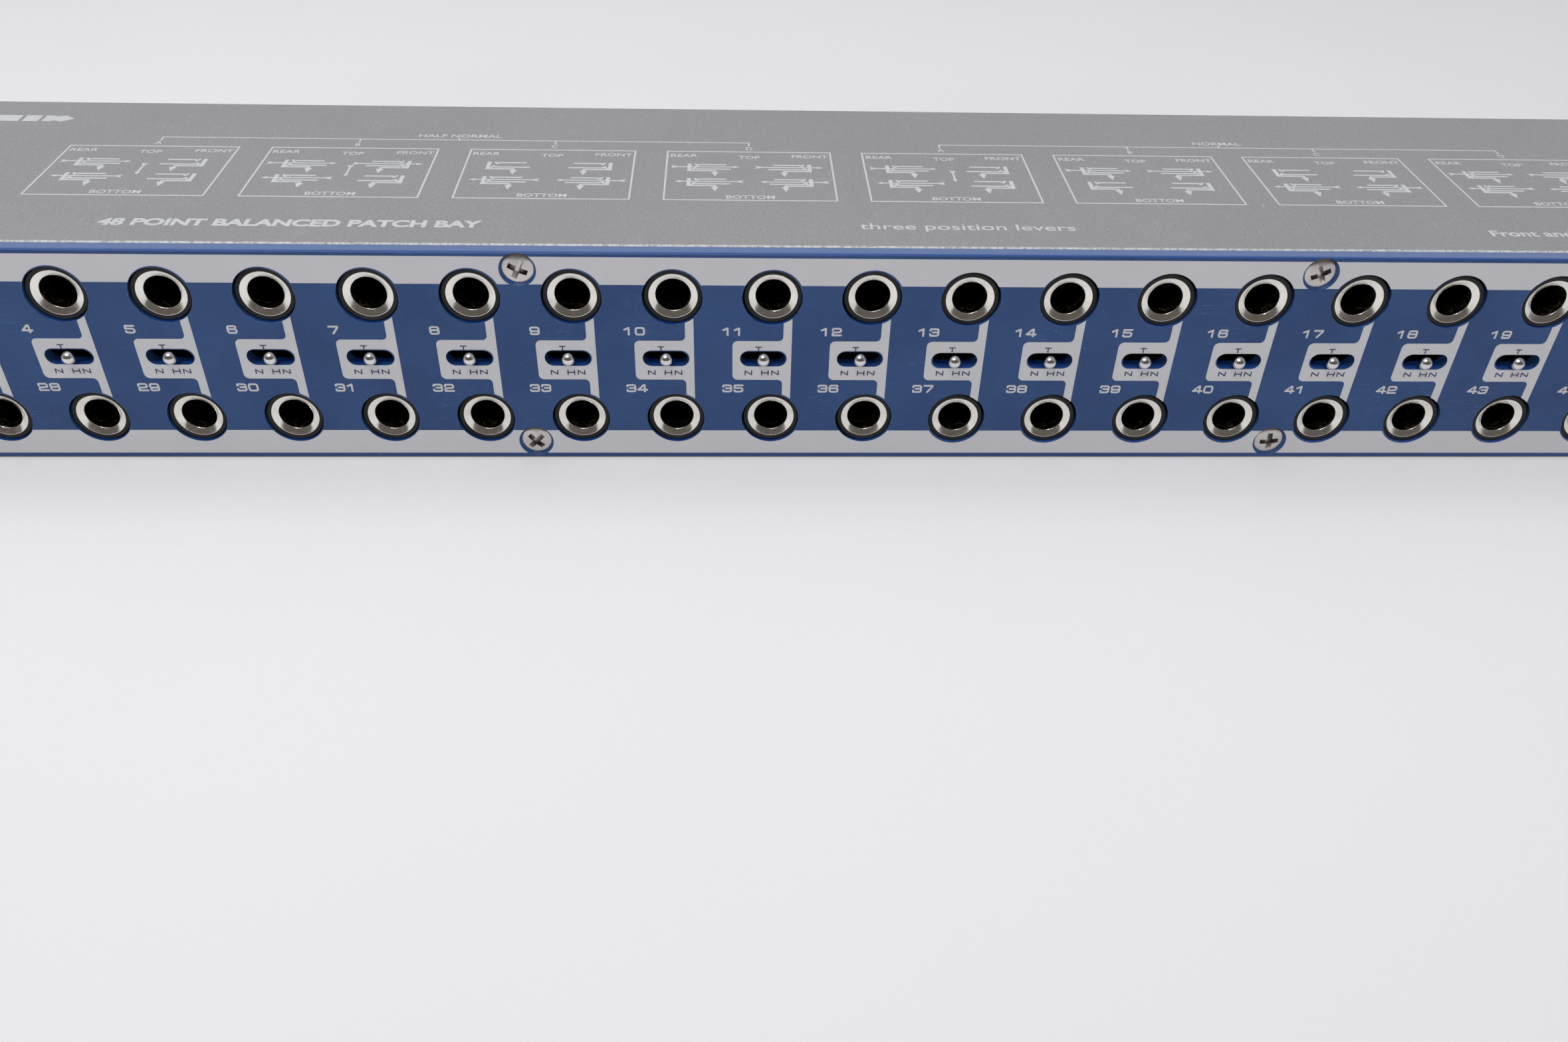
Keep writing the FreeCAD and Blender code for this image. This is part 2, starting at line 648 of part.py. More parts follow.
def make_switch_contact():
    """The fixed leaf that a tip or ring spring rests on when no plug is in."""
    place, half = size("switch_contact"), size("spring_thick") / 2
    back = size("jack_long")
    bend = back - size("switch_contact_long")
    tip = (place - size("switch_contact_turn"), bend - size("switch_contact_tip"))
    return bent_strip("switch_contact_leaf", [(place, back - half), (place, bend), tip],
                      size("spring_wide"))


def in_jacks(places, turn_degrees):
    """The same places, with the piece turned about the bore's axis."""
    turn = Placement(Vector(), Rotation(Vector(0, 1, 0), turn_degrees))
    return [place.multiply(turn) for place in places]


def make_jacks():
    front, back = jack_places(False), jack_places(True)
    housing, ferrule = make_jack_housing(), make_ferrule()
    doc.recompute()
    tip, ring, sleeve = make_spring("tip"), make_spring("ring"), make_spring("sleeve")
    contact = make_switch_contact()
    nodes = [
        copies("front_jack_housings", housing, front),
        copies("rear_jack_housings", housing, back),
        copies("front_jack_ferrules", ferrule, front),
        copies("rear_jack_ferrules", ferrule, back),
        copies("jack_tip_springs", tip, front + back),
        copies("jack_ring_springs", ring, in_jacks(front + back, 180)),
        copies("jack_sleeve_springs", sleeve, in_jacks(front + back, 90)),
        copies("front_switching_contacts", contact, front),
    ]
    return nodes


# ---- circuit boards, the rail between them and their connectors ----


def board_span(side):
    """The ends of a board along X, with the board's own small shift."""
    if side == "left":
        return "board_shift - board_end", "board_shift - board_inner"
    return "board_inner - board_shift", "board_end - board_shift"


def make_jack_board(label, side, front):
    left, right = board_span(side)
    low = (left, front, "row_lift - board_half_height")
    high = (right, f"{front} + board_thick", "row_lift + board_half_height")
    plate = box(label + "_plate", low, high)
    holes = [
        rod(f"{label}_hole_{gap}", (str(gap_x(gap)), f"{front} - sheet_gap", "board_screw_lift"),
            "screw_hole_r", "board_thick + 2 * sheet_gap")
        for gap in BOARD_SCREW_GAPS[side]
    ]
    return carve(label, plate, holes)


def make_switch_board(label, side):
    left, right = board_span(side)
    low = (left, "switch_board_front", "row_lift - switch_board_half_height")
    high = (right, "switch_board_front + board_thick", "row_lift + switch_board_half_height")
    return box(label, low, high)


def make_board_rail():
    low_z, high_z = "lever_lift - rail_half_height", "lever_lift + rail_half_height"
    end = f"{TRAY_OUTSIDE} - sheet_thick"
    front = BOARD_GAP_FRONT
    back = REAR_BOARD_FRONT
    pieces = [box("rail_bar", (f"-({end})", front, low_z), (end, back, high_z))]
    for side, sign in HALVES.items():
        inner = f"{end} - rail_foot_thick"
        low_x, high_x = (inner, end) if sign > 0 else (f"-({end})", f"-({inner})")
        high = (high_x, f"{front} + rail_foot_long", high_z)
        pieces.append(box(f"rail_foot_{side}", (low_x, front, low_z), high))
    holes = [
        rod(f"rail_hole_{gap}", (str(gap_x(gap)), f"{front} - sheet_gap", "board_screw_lift"),
            "tapped_hole_r", f"{back} - ({front}) + 2 * sheet_gap")
        for gaps in BOARD_SCREW_GAPS.values()
        for gap in gaps
    ]
    start = f"{end} - rail_foot_thick - sheet_gap"
    through = "rail_foot_thick + 2 * sheet_gap"
    holes += side_holes("rail_foot_hole", "tapped_hole_r", start, through,
                        [(RAIL_SCREW_Y, "lever_lift")])
    return carve("board_rail", join("rail_solid", pieces), holes)


def pin_spots(level):
    """Three pins for each column, tip, ring and sleeve, in one row at a height."""
    third = size("column_pitch") / 3
    spots = []
    for column in COLUMNS:
        for step in (-1, 0, 1):
            across = column_x(column) + step * third + shift_of(column)
            spots.append(Vector(across, 0, level))
    return spots


def strip_with_holes(spots, low_y, high_y, level):
    """Two bars of insulator, one for each half, with a hole for each pin."""
    radius, half = size("link_pin_r"), size("strip_high") / 2
    solids = []
    for sign in HALVES.values():
        mine = [spot for spot in spots if spot.x * sign > 0]
        low_x = min(spot.x for spot in mine) - half
        high_x = max(spot.x for spot in mine) + half
        bar = Part.makeBox(high_x - low_x, high_y - low_y, 2 * half,
                           Vector(low_x, low_y, level - half))
        pins = [
            Part.makeCylinder(radius, high_y - low_y + 2, Vector(spot.x, low_y - 1, level),
                              Vector(0, 1, 0))
            for spot in mine
        ]
        solids.append(bar.cut(Part.makeCompound(pins)).Solids[0])
    return solids


def make_pins(spots, low_y, high_y):
    return [
        Part.makeCylinder(size("link_pin_r"), high_y - low_y, Vector(spot.x, low_y, spot.z),
                          Vector(0, 1, 0))
        for spot in spots
    ]


def make_links():
    """Pins that join the front jack boards to the rear ones, and to the switch boards."""
    gap_front, gap_back, gap = size(BOARD_GAP_FRONT), size(REAR_BOARD_FRONT), size("strip_gap")
    strips, pins = [], []
    for row in (1, -1):
        level = size("row_lift") + row * size("link_strip_z")
        spots = pin_spots(level)
        strips += strip_with_holes(spots, gap_front + gap, gap_back - gap, level)
        pins += make_pins(spots, gap_front, gap_back)
    board_back = size("switch_board_front + board_thick")
    jack_board = size(JACK_BOARD_FRONT)
    level = size("row_lift + switch_board_half_height") - size("strip_high") / 2
    spots = pin_spots(level)
    headers = strip_with_holes(spots, jack_board - size("strip_high"), jack_board, level)
    nodes = []
    for label, solids in (
        ("board_link_strips", strips),
        ("board_link_pins", pins),
        ("switch_board_headers", headers),
        ("switch_board_pins", make_pins(spots, board_back, jack_board)),
    ):
        node = doc.addObject("Part::Feature", label)
        node.Shape = Part.makeCompound(solids)
        nodes.append(node)
    return nodes


# ---- lever switches: +Y runs inward from the pivot, the pivot pin along Z ----


def make_lever():
    ball = primitive("Sphere", "lever_ball", ("0", "-lever_reach", "0"), Radius="lever_ball_r")
    neck_start = "-lever_reach + lever_ball_r / 2"
    neck = cone("lever_neck", ("0", neck_start, "0"), "lever_neck_r", "lever_root_r",
                "lever_reach - lever_ball_r / 2")
    boss = primitive("Sphere", "lever_boss", ("0", "0", "0"), Radius="lever_boss_r")
    tail = cone("lever_tail_rod", ("0", "0", "0"), "lever_root_r", "lever_neck_r", "lever_tail")
    end = primitive("Sphere", "lever_tail_end", ("0", "lever_tail", "0"), Radius="lever_neck_r")
    hole = rod("lever_pin_hole", ("0", "0", "-lever_boss_r"), "pivot_pin_r + pivot_gap",
               "2 * lever_boss_r", Rotation())
    return carve("lever", join("lever_solid", [ball, neck, boss, tail, end]), [hole])


def make_levers():
    lever = make_lever()
    doc.recompute()
    nodes = []
    for column, place in zip(COLUMNS, lever_places()):
        node = doc.addObject("Part::Feature", f"toggle_lever_{column:02d}")
        node.Shape = lever.Shape.copy()
        node.Placement = place
        nodes.append(node)
    return nodes


def from_pivot(text):
    """A depth behind the panel, measured from the lever's pivot."""
    return f"({text}) - lever_pivot"


def make_switch_housing():
    front, back = from_pivot("switch_front"), from_pivot("switch_back")
    low = ("-switch_half_width", front, "-switch_half_height")
    block = box("switch_block", low, ("switch_half_width", back, "switch_half_height"))
    low = ("-switch_well_x", f"{front} - 1", "-switch_well_z")
    high = ("switch_well_x", from_pivot("switch_well_end"), "switch_well_z")
    well = box("switch_well", low, high)
    return carve("switch_housing", block, [well, upright_pin("switch_pin_hole")])


def upright_pin(name):
    """A pivot pin, or the hole for one, that stops short of the housing's top and bottom."""
    place = ("0", "0", "pivot_pin_cover - switch_half_height")
    length = "2 * (switch_half_height - pivot_pin_cover)"
    return rod(name, place, "pivot_pin_r", length, Rotation())


def make_switch_frame():
    """A bent metal strap over the front of a switch and down both its sides."""
    front, back = from_pivot("switch_front"), from_pivot("switch_back")
    high = "switch_half_height + frame_thick"
    side = "switch_half_width"
    outer = box("frame_outer", (f"-{side}", f"{front} - frame_thick", f"-({high})"),
                (side, f"{back} - frame_short", high))
    inner = box("frame_inner", (f"-{side} - 1", front, "-switch_half_height"),
                (f"{side} + 1", back, "switch_half_height"))
    mouth = box("frame_mouth", ("-switch_well_x", f"{front} - 1", "-switch_well_z"),
                ("switch_well_x", f"{front} + 1", "switch_well_z"))
    return carve("switch_frame", outer, [inner, mouth])


def make_switch_terminals():
    """Six terminals of one switch, from its housing to the switch board."""
    start, end = from_pivot("switch_back"), from_pivot("switch_board_front")
    half_wide, half_thick = "terminal_wide / 2", "terminal_thick / 2"
    blades = []
    for across in (-1, 0, 1):
        for row in (-1, 1):
            x, z = f"{across} * terminal_pitch", f"{row} * terminal_row"
            low = (f"{x} - {half_wide}", start, f"{z} - {half_thick}")
            high = (f"{x} + {half_wide}", end, f"{z} + {half_thick}")
            blades.append(box(f"terminal_{across + 1}_{row + 1}", low, high))
    return blades


def make_switches():
    places = lever_places()
    housing, pin, frame = make_switch_housing(), upright_pin("pivot_pin"), make_switch_frame()
    blades = make_switch_terminals()
    doc.recompute()
    terminals = doc.addObject("Part::Feature", "toggle_terminals")
    solids = []
    for place in places:
        for blade in blades:
            solid = blade.Shape.copy()
            solid.Placement = place.multiply(solid.Placement)
            solids.append(solid)
    terminals.Shape = Part.makeCompound(solids)
    return [
        copies("toggle_housings", housing, places),
        copies("toggle_frames", frame, places),
        copies("toggle_pivot_pins", pin, places),
        terminals,
    ]


# ---- screws: +Y runs from the head's face into the hole ----


def cross_recess(name):
    half_wide, half_long = "recess_wide / 2", "recess_long / 2"
    bars = []
    for number, (x, z) in enumerate(((half_long, half_wide), (half_wide, half_long))):
        low = (f"-{x}", "-1", f"-{z}")
        bars.append(box(f"{name}_recess_{number}", low, (x, "recess_deep", z)))
    return bars


def make_countersunk_screw():
    """Its face lies below the panel's face by the difference of the two cone radii."""
    depth = "flat_head_r - screw_r"
    wide, narrow = "flat_head_r - flat_head_gap", "screw_r - flat_head_gap"
    head = cone("flat_head", ("0", "0", "0"), wide, narrow, depth)
    shank = rod("flat_shank", ("0", "0", "0"), "screw_r", "flat_screw_long")
    return carve("flat_screw", join("flat_solid", [head, shank]), cross_recess("flat"))


def make_pan_screw(name):
    head = rod(f"{name}_head", ("0", "0", "0"), "pan_head_r", "pan_head_high")
    shank = rod(f"{name}_shank", ("0", "0", "0"), "screw_r", f"pan_head_high + {name}_long")
    return carve(name, join(f"{name}_solid", [head, shank]), cross_recess(name))


def facing(x, y, z, heading, number):
    """A screw's place; heading turns its +Y axis, and each cross is turned its own way."""
    turn = Rotation(Vector(0, 1, 0), CROSS_STEP * number)
    return Placement(Vector(x, y, z), heading.multiply(turn))


def panel_screw_places(back):
    """The eight screws of a panel, with the face of the head on the outside."""
    places = []
    sink = size("countersink_r - flat_head_r") - size("panel_thick")
    y = size("body_depth + pan_head_high") if back else sink
    for x in SCREW_COLUMNS:
        for z in SCREW_HEIGHTS.values():
            across = size(f"{x} * column_pitch")
            heading = HALF_TURN if back else Rotation()
            places.append(facing(across, y, size(z), heading, len(places)))
    return places


def side_screw_places(outside, spots):
    """Screws through both side walls; outside is where the wall's outer face lies."""
    places = []
    face = size(outside) + size("pan_head_high")
    for y, z in spots:
        for sign in HALVES.values():
            heading = Rotation(Vector(0, 0, 1), 90 * sign)
            places.append(facing(sign * face, size(y), size(z), heading, len(places)))
    return places


def board_screw_places():
    """Screws that hold the jack boards to the rail, from the front and from the back."""
    places = []
    front = size(JACK_BOARD_FRONT) - size("pan_head_high")
    back = size(REAR_BOARD_FRONT) + size("board_thick") + size("pan_head_high")
    for gaps in BOARD_SCREW_GAPS.values():
        for gap in gaps:
            for y, heading in ((front, Rotation()), (back, HALF_TURN)):
                height = size("board_screw_lift")
                places.append(facing(gap_x(gap), y, height, heading, len(places)))
    return places


def make_screws():
    flat = make_countersunk_screw()
    rear, side, board = (make_pan_screw(f"{name}_screw") for name in ("rear", "side", "board"))
    doc.recompute()
    cover_spots = [(y, COVER_SCREW_Z) for y in COVER_SCREW_Y]
    rail_spots = [(RAIL_SCREW_Y, "lever_lift")]
    return [
        copies("front_panel_screws", flat, panel_screw_places(False)),
        copies("rear_panel_screws", rear, panel_screw_places(True)),
        copies("cover_side_screws", side, side_screw_places("body_half_width", cover_spots)),
        copies("rail_end_screws", side, side_screw_places(TRAY_OUTSIDE, rail_spots)),
        copies("board_screws", board, board_screw_places()),
    ]


# ---- the whole object ----


def make_all():
    panel = make_countersunk_panel(make_front_panel())
    nodes = {
        "front_panel": panel,
        "rear_panel": make_rear_panel(),
        "chassis_tray": make_chassis_tray(),
        "top_cover": make_top_cover(),
        "board_rail": make_board_rail(),
    }
    for side in HALVES:
        for where, front in (("front", JACK_BOARD_FRONT), ("rear", REAR_BOARD_FRONT)):
            label = f"{where}_jack_board_{side}"
            nodes[label] = make_jack_board(label, side, front)
        nodes[f"switch_board_{side}"] = make_switch_board(f"switch_board_{side}", side)
    doc.recompute()
    for node in make_jacks() + make_links() + make_switches() + make_screws() + make_levers():
        nodes[node.Label] = node
    doc.recompute()
    return nodes


def check_document():
    for item in doc.Objects:
        bad = {"Invalid", "Error"} & set(item.State)
        if bad:
            raise RuntimeError(f"{item.Label} is {', '.join(sorted(bad))}")


def write_nodes(nodes):
    os.makedirs("parts", exist_ok=True)
    for label, node in nodes.items():
        if node.Shape.isNull() or not node.Shape.isValid():
            raise RuntimeError(f"{label} has no valid shape")
        if not node.Shape.Solids:
            raise RuntimeError(f"{label} holds no solid")
        node.Shape.exportStep(f"parts/{label}.step")
        print(f"{label}: {len(node.Shape.Solids)} solids, {node.Shape.Volume:.0f} mm3")


all_nodes = make_all()
check_document()
write_nodes(all_nodes)
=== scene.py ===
import math
import bmesh
import bpy
from mathutils import Matrix, Vector
from mathutils.geometry import delaunay_2d_cdt


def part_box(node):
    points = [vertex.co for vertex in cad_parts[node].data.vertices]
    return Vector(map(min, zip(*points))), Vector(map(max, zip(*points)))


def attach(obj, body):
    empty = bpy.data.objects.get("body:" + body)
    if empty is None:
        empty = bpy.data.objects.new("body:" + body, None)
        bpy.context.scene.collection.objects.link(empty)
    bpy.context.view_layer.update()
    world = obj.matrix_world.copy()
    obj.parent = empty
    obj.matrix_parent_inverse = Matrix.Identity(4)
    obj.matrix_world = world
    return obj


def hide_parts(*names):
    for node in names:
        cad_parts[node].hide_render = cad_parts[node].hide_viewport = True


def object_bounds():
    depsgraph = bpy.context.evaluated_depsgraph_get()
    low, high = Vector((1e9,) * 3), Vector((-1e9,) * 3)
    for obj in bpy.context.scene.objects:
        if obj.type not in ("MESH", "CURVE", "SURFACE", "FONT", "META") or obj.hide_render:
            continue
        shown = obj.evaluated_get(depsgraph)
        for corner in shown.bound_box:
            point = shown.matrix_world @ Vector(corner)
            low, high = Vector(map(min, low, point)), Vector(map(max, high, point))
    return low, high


# Looks of a rack patch bay: print, sockets, levers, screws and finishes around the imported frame.
# Frame: X to the right seen from the front, Y from the front to the back, Z up, all in metres.
# Outlines and drawings are in millimetres; they become metres when their mesh is made.

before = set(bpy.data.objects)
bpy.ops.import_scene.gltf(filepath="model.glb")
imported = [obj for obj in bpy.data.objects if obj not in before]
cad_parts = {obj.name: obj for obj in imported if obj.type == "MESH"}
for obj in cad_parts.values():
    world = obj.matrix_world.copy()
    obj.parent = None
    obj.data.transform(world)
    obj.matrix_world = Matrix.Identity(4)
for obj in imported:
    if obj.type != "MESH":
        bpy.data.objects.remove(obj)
CAD_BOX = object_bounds()

MM = 0.001
TURN = 2 * math.pi
SIDES = 64                  # steps of a turned piece
DISC_SIDES = 16             # steps of the disc at a sharp bend of a drawn line
SLIGHT_BEND = math.radians(53)    # the sharpest bend that a drawn line is mitred at
SAME_POINT = 0.005          # mm between a drawn line's points, below which the second is left out
THIN_FACE = 1e-4            # square mm, below which a letter's triangle is left out
MERGE = 1e-6                # mm between points of a drawing that count as one
COLUMNS = range(1, 25)      # a column is an upper socket, a lever and a lower socket
BOARD_SHIFT = 0.15          # mm, how far each half's jacks sit off the columns, towards the middle


# ---- places, read from the frame ----


def solids(node):
    """(middle, lowest corner, highest corner) of each separate solid of a CAD node, in mm."""
    shape = bmesh.new()
    shape.from_mesh(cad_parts[node].data)
    bmesh.ops.remove_doubles(shape, verts=shape.verts, dist=1e-6)
    seen, found = set(), []
    for start in shape.verts:
        if start in seen:
            continue
        seen.add(start)
        group, edge = [start], [start]
        while edge:
            for line in edge.pop().link_edges:
                for near in line.verts:
                    if near not in seen:
                        seen.add(near)
                        group.append(near)
                        edge.append(near)
        low = Vector([min(v.co[k] for v in group) for k in range(3)]) / MM
        high = Vector([max(v.co[k] for v in group) for k in range(3)]) / MM
        found.append(((low + high) / 2, low, high))
    shape.free()
    return sorted(found, key=lambda item: (round(item[0].z), item[0].x))


def box_mm(node):
    low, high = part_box(node)
    return low / MM, high / MM


PANEL_LOW, PANEL_HIGH = box_mm("front_panel")
COVER_HIGH = box_mm("top_cover")[1]
REAR_HIGH = box_mm("rear_panel")[1]
FRONT_JACKS = solids("front_jack_ferrules")
REAR_JACKS = solids("rear_jack_ferrules")
LEVERS = {n: box_mm(f"toggle_lever_{n:02d}") for n in COLUMNS}
ROW_LOW = FRONT_JACKS[0][0].z - BOARD_SHIFT
ROW_HIGH = FRONT_JACKS[-1][0].z + BOARD_SHIFT
SPAN = FRONT_JACKS[23][0].x - FRONT_JACKS[0][0].x + 2 * BOARD_SHIFT
PITCH = SPAN / (len(COLUMNS) - 1)


def column_x(n):
    """The middle of column n, in millimetres."""
    return (n - (len(COLUMNS) + 1) / 2) * PITCH


# ---- camera, floor and light ----


def make_camera():
    camera = bpy.data.objects.new("camera", bpy.data.cameras.new("camera"))
    bpy.context.scene.collection.objects.link(camera)
    camera.data.sensor_width = 36
    camera.data.lens = 29.6
    camera.data.clip_start = 0.01
    camera.location = Vector((-35.4, -211.9, 126.2)) * MM
    camera.rotation_euler = [math.radians(turn) for turn in (51.85, -1.43, -2.02)]
    bpy.context.scene.camera = camera


def soft_light(name, place, aim, size, power, mirrored=True):
    """A square of light; one that isn't mirrored leaves no glint on polished metal."""
    data = bpy.data.lights.new(name, "AREA")
    data.shape = "RECTANGLE"
    data.size, data.size_y = size
    data.energy = power
    light = bpy.data.objects.new(name, data)
    light.visible_glossy = mirrored
    light.location = place
    light.rotation_euler = (Vector(aim) - Vector(place)).to_track_quat("-Z", "Y").to_euler()
    bpy.context.scene.collection.objects.link(light)


def make_room():
    """A pale studio: bright behind the object, dim and a little warm behind the camera."""
    world = bpy.data.worlds.new("studio")
    bpy.context.scene.world = world
    world.use_nodes = True
    tree = world.node_tree
    way = tree.nodes.new("ShaderNodeTexCoord")
    parts = tree.nodes.new("ShaderNodeSeparateXYZ")
    tree.links.new(way.outputs["Generated"], parts.inputs[0])
    ramp = tree.nodes.new("ShaderNodeMapRange")
    ramp.interpolation_type = "SMOOTHSTEP"
    ramp.inputs["From Min"].default_value = -0.75
    ramp.inputs["From Max"].default_value = 0.35
    tree.links.new(parts.outputs["Y"], ramp.inputs["Value"])
    blend = tree.nodes.new("ShaderNodeMix")
    blend.data_type = "RGBA"
    blend.inputs["A"].default_value = (0.19, 0.172, 0.156, 1)
    blend.inputs["B"].default_value = (0.93, 0.94, 0.97, 1)
    tree.links.new(ramp.outputs["Result"], blend.inputs["Factor"])
    back = tree.nodes["Background"]
    tree.links.new(blend.outputs["Result"], back.inputs["Color"])
    back.inputs["Strength"].default_value = 0.60
    soft_light("light_above", (-0.3, -0.05, 0.95), (0, 0, 0), (1.1, 0.8), 4.6)
    soft_light("light_high_front", (-0.12, -0.35, 0.85), (0, 0, 0), (0.10, 0.10), 1.6)
    soft_light("light_front_left", (-1.0, -1.6, 0.8), (0, 0, 0), (1.0, 0.9), 12.5, False)
    soft_light("light_front_right", (1.1, -1.45, 0.85), (0, 0, 0), (0.9, 0.9), 10.5, False)
    bpy.context.scene.view_settings.view_transform = "Standard"


# ---- materials: each is built up layer by layer, with distances in millimetres ----


class Finish:
    def __init__(self, name, colour, roughness, metallic=0.0, coat=0.0):
        self.material = bpy.data.materials.new(name)
        self.material.use_nodes = True
        self.tree = self.material.node_tree
        self.shader = self.tree.nodes["Principled BSDF"]
        self.shader.inputs["Metallic"].default_value = metallic
        self.shader.inputs["Coat Weight"].default_value = coat
        self.shader.inputs["Coat Roughness"].default_value = 0.25
        self.colour = self.constant(colour)
        self.roughness = roughness
        self.normal = None
        self.place = self.scaled((1, 1, 1))

    def put(self, kind, inputs=None, **settings):
        """A shader node; an input is a plain value or another node's output."""
        node = self.tree.nodes.new("ShaderNode" + kind)
        for name, value in settings.items():
            setattr(node, name, value)
        for name, value in (inputs or {}).items():
            if isinstance(value, bpy.types.NodeSocket):
                self.tree.links.new(value, node.inputs[name])
            else:
                node.inputs[name].default_value = value
        return node

    def constant(self, colour):
        node = self.put("RGB")
        node.outputs[0].default_value = (*colour, 1)
        return node.outputs[0]

    def scaled(self, stretch):
        """The object's own coordinates in millimetres, stretched to lengthen a pattern."""
        source = self.put("TexCoord").outputs["Object"]
        steps = [1 / (MM * factor) for factor in stretch]
        return self.put("Mapping", {"Vector": source, "Scale": steps}).outputs["Vector"]

    def noise(self, grain, low=0.35, high=0.65, stretch=None, detail=3):
        """Blotches about grain millimetres across, from 0 to 1."""
        place = self.scaled(stretch) if stretch else self.place
        inputs = {"Vector": place, "Scale": 1 / grain, "Detail": detail}
        source = self.put("TexNoise", inputs).outputs["Fac"]
        inputs = {"Value": source, "From Min": low, "From Max": high}
        return self.put("MapRange", inputs).outputs["Result"]

    def threads(self, grain, stretch, width=0.02):
        """Thin lines along the stretched direction, as fine scratches."""
        inputs = {"Vector": self.scaled(stretch), "Scale": 1 / grain, "Detail": 2}
        source = self.put("TexNoise", inputs).outputs["Fac"]
        off = self.put("Math", {0: source, 1: 0.5}, operation="SUBTRACT").outputs[0]
        size = self.put("Math", {0: off}, operation="ABSOLUTE").outputs[0]
        inputs = {"Value": size, "From Min": 0.0, "From Max": width, "To Min": 1, "To Max": 0}
        return self.put("MapRange", inputs).outputs["Result"]

    def dots(self, spacing, radius, share=0.5):
        """Small round specks on some of the cells of a pattern."""
        inputs = {"Vector": self.place, "Scale": 1 / spacing}
        cells = self.put("TexVoronoi", inputs)
        inputs = {"Value": cells.outputs["Distance"], "From Min": radius / spacing,
                  "From Max": 0.5 * radius / spacing}
        round_spot = self.put("MapRange", inputs).outputs["Result"]
        chance = self.put("SeparateColor", {"Color": cells.outputs["Color"]}).outputs[0]
        chosen = self.put("Math", {0: chance, 1: share}, operation="LESS_THAN").outputs[0]
        return self.times(round_spot, chosen)

    def edges(self, width, gain=3.0):
        """1 along the piece's outer edges, fading over width millimetres."""
        soft = self.put("Bevel", {"Radius": width * MM}, samples=4).outputs["Normal"]
        true = self.put("NewGeometry").outputs["True Normal"]
        same = self.put("VectorMath", {0: soft, 1: true}, operation="DOT_PRODUCT")
        away = self.put("Math", {0: 1.0, 1: same.outputs["Value"]}, operation="SUBTRACT")
        return self.put("Math", {0: away.outputs[0], 1: gain}, operation="MULTIPLY",
                        use_clamp=True).outputs[0]

    def times(self, first, second):
        return self.put("Math", {0: first, 1: second}, operation="MULTIPLY").outputs[0]

    def between(self, axis, low, high, soft=0.3):
        """1 where the place along an axis lies between two millimetre marks, 0 elsewhere."""
        depth = self.put("SeparateXYZ", {"Vector": self.place}).outputs[axis]
        after = self.put("MapRange", {"Value": depth, "From Min": low, "From Max": low + soft})
        before = self.put("MapRange", {"Value": depth, "From Min": high, "From Max": high - soft})
        return self.times(after.outputs["Result"], before.outputs["Result"])

    def facing(self, low, high):
        """0 where a face's tilt upward is low, 1 where it is high; -1 is straight down."""
        normal = self.put("NewGeometry").outputs["Normal"]
        up = self.put("SeparateXYZ", {"Vector": normal}).outputs["Z"]
        inputs = {"Value": up, "From Min": low, "From Max": high}
        return self.put("MapRange", inputs).outputs["Result"]

    def paint(self, mask, colour, amount=1.0):
        """Lays another colour over the finish where the mask is 1."""
        node = self.put("Mix", data_type="RGBA")
        self.tree.links.new(self.times(mask, amount), node.inputs[0])
        self.tree.links.new(self.colour, node.inputs[6])
        if isinstance(colour, bpy.types.NodeSocket):
            self.tree.links.new(colour, node.inputs[7])
        else:
            node.inputs[7].default_value = (*colour, 1)
        self.colour = node.outputs[2]

    def rub(self, mask, change):
        """Makes the finish rougher, or smoother, by change where the mask is 1."""
        inputs = {0: mask, 1: change, 2: self.roughness}
        self.roughness = self.put("Math", inputs, operation="MULTIPLY_ADD").outputs[0]

    def emboss(self, mask, height):
        """Raises the surface by height millimetres where the mask is 1."""
        inputs = {"Height": mask, "Distance": height * MM, "Strength": 1.0}
        if self.normal:
            inputs["Normal"] = self.normal
        self.normal = self.put("Bump", inputs).outputs["Normal"]

    def round_edges(self, width):
        """Shades sharp edges as though they were rounded over width millimetres."""
        self.normal = self.put("Bevel", {"Radius": width * MM}, samples=4).outputs["Normal"]

    def done(self):
        for name, value in (("Base Color", self.colour), ("Roughness", self.roughness),
                            ("Normal", self.normal)):
            if isinstance(value, bpy.types.NodeSocket):
                self.tree.links.new(value, self.shader.inputs[name])
            elif value is not None:
                self.shader.inputs[name].default_value = value
        return self.material


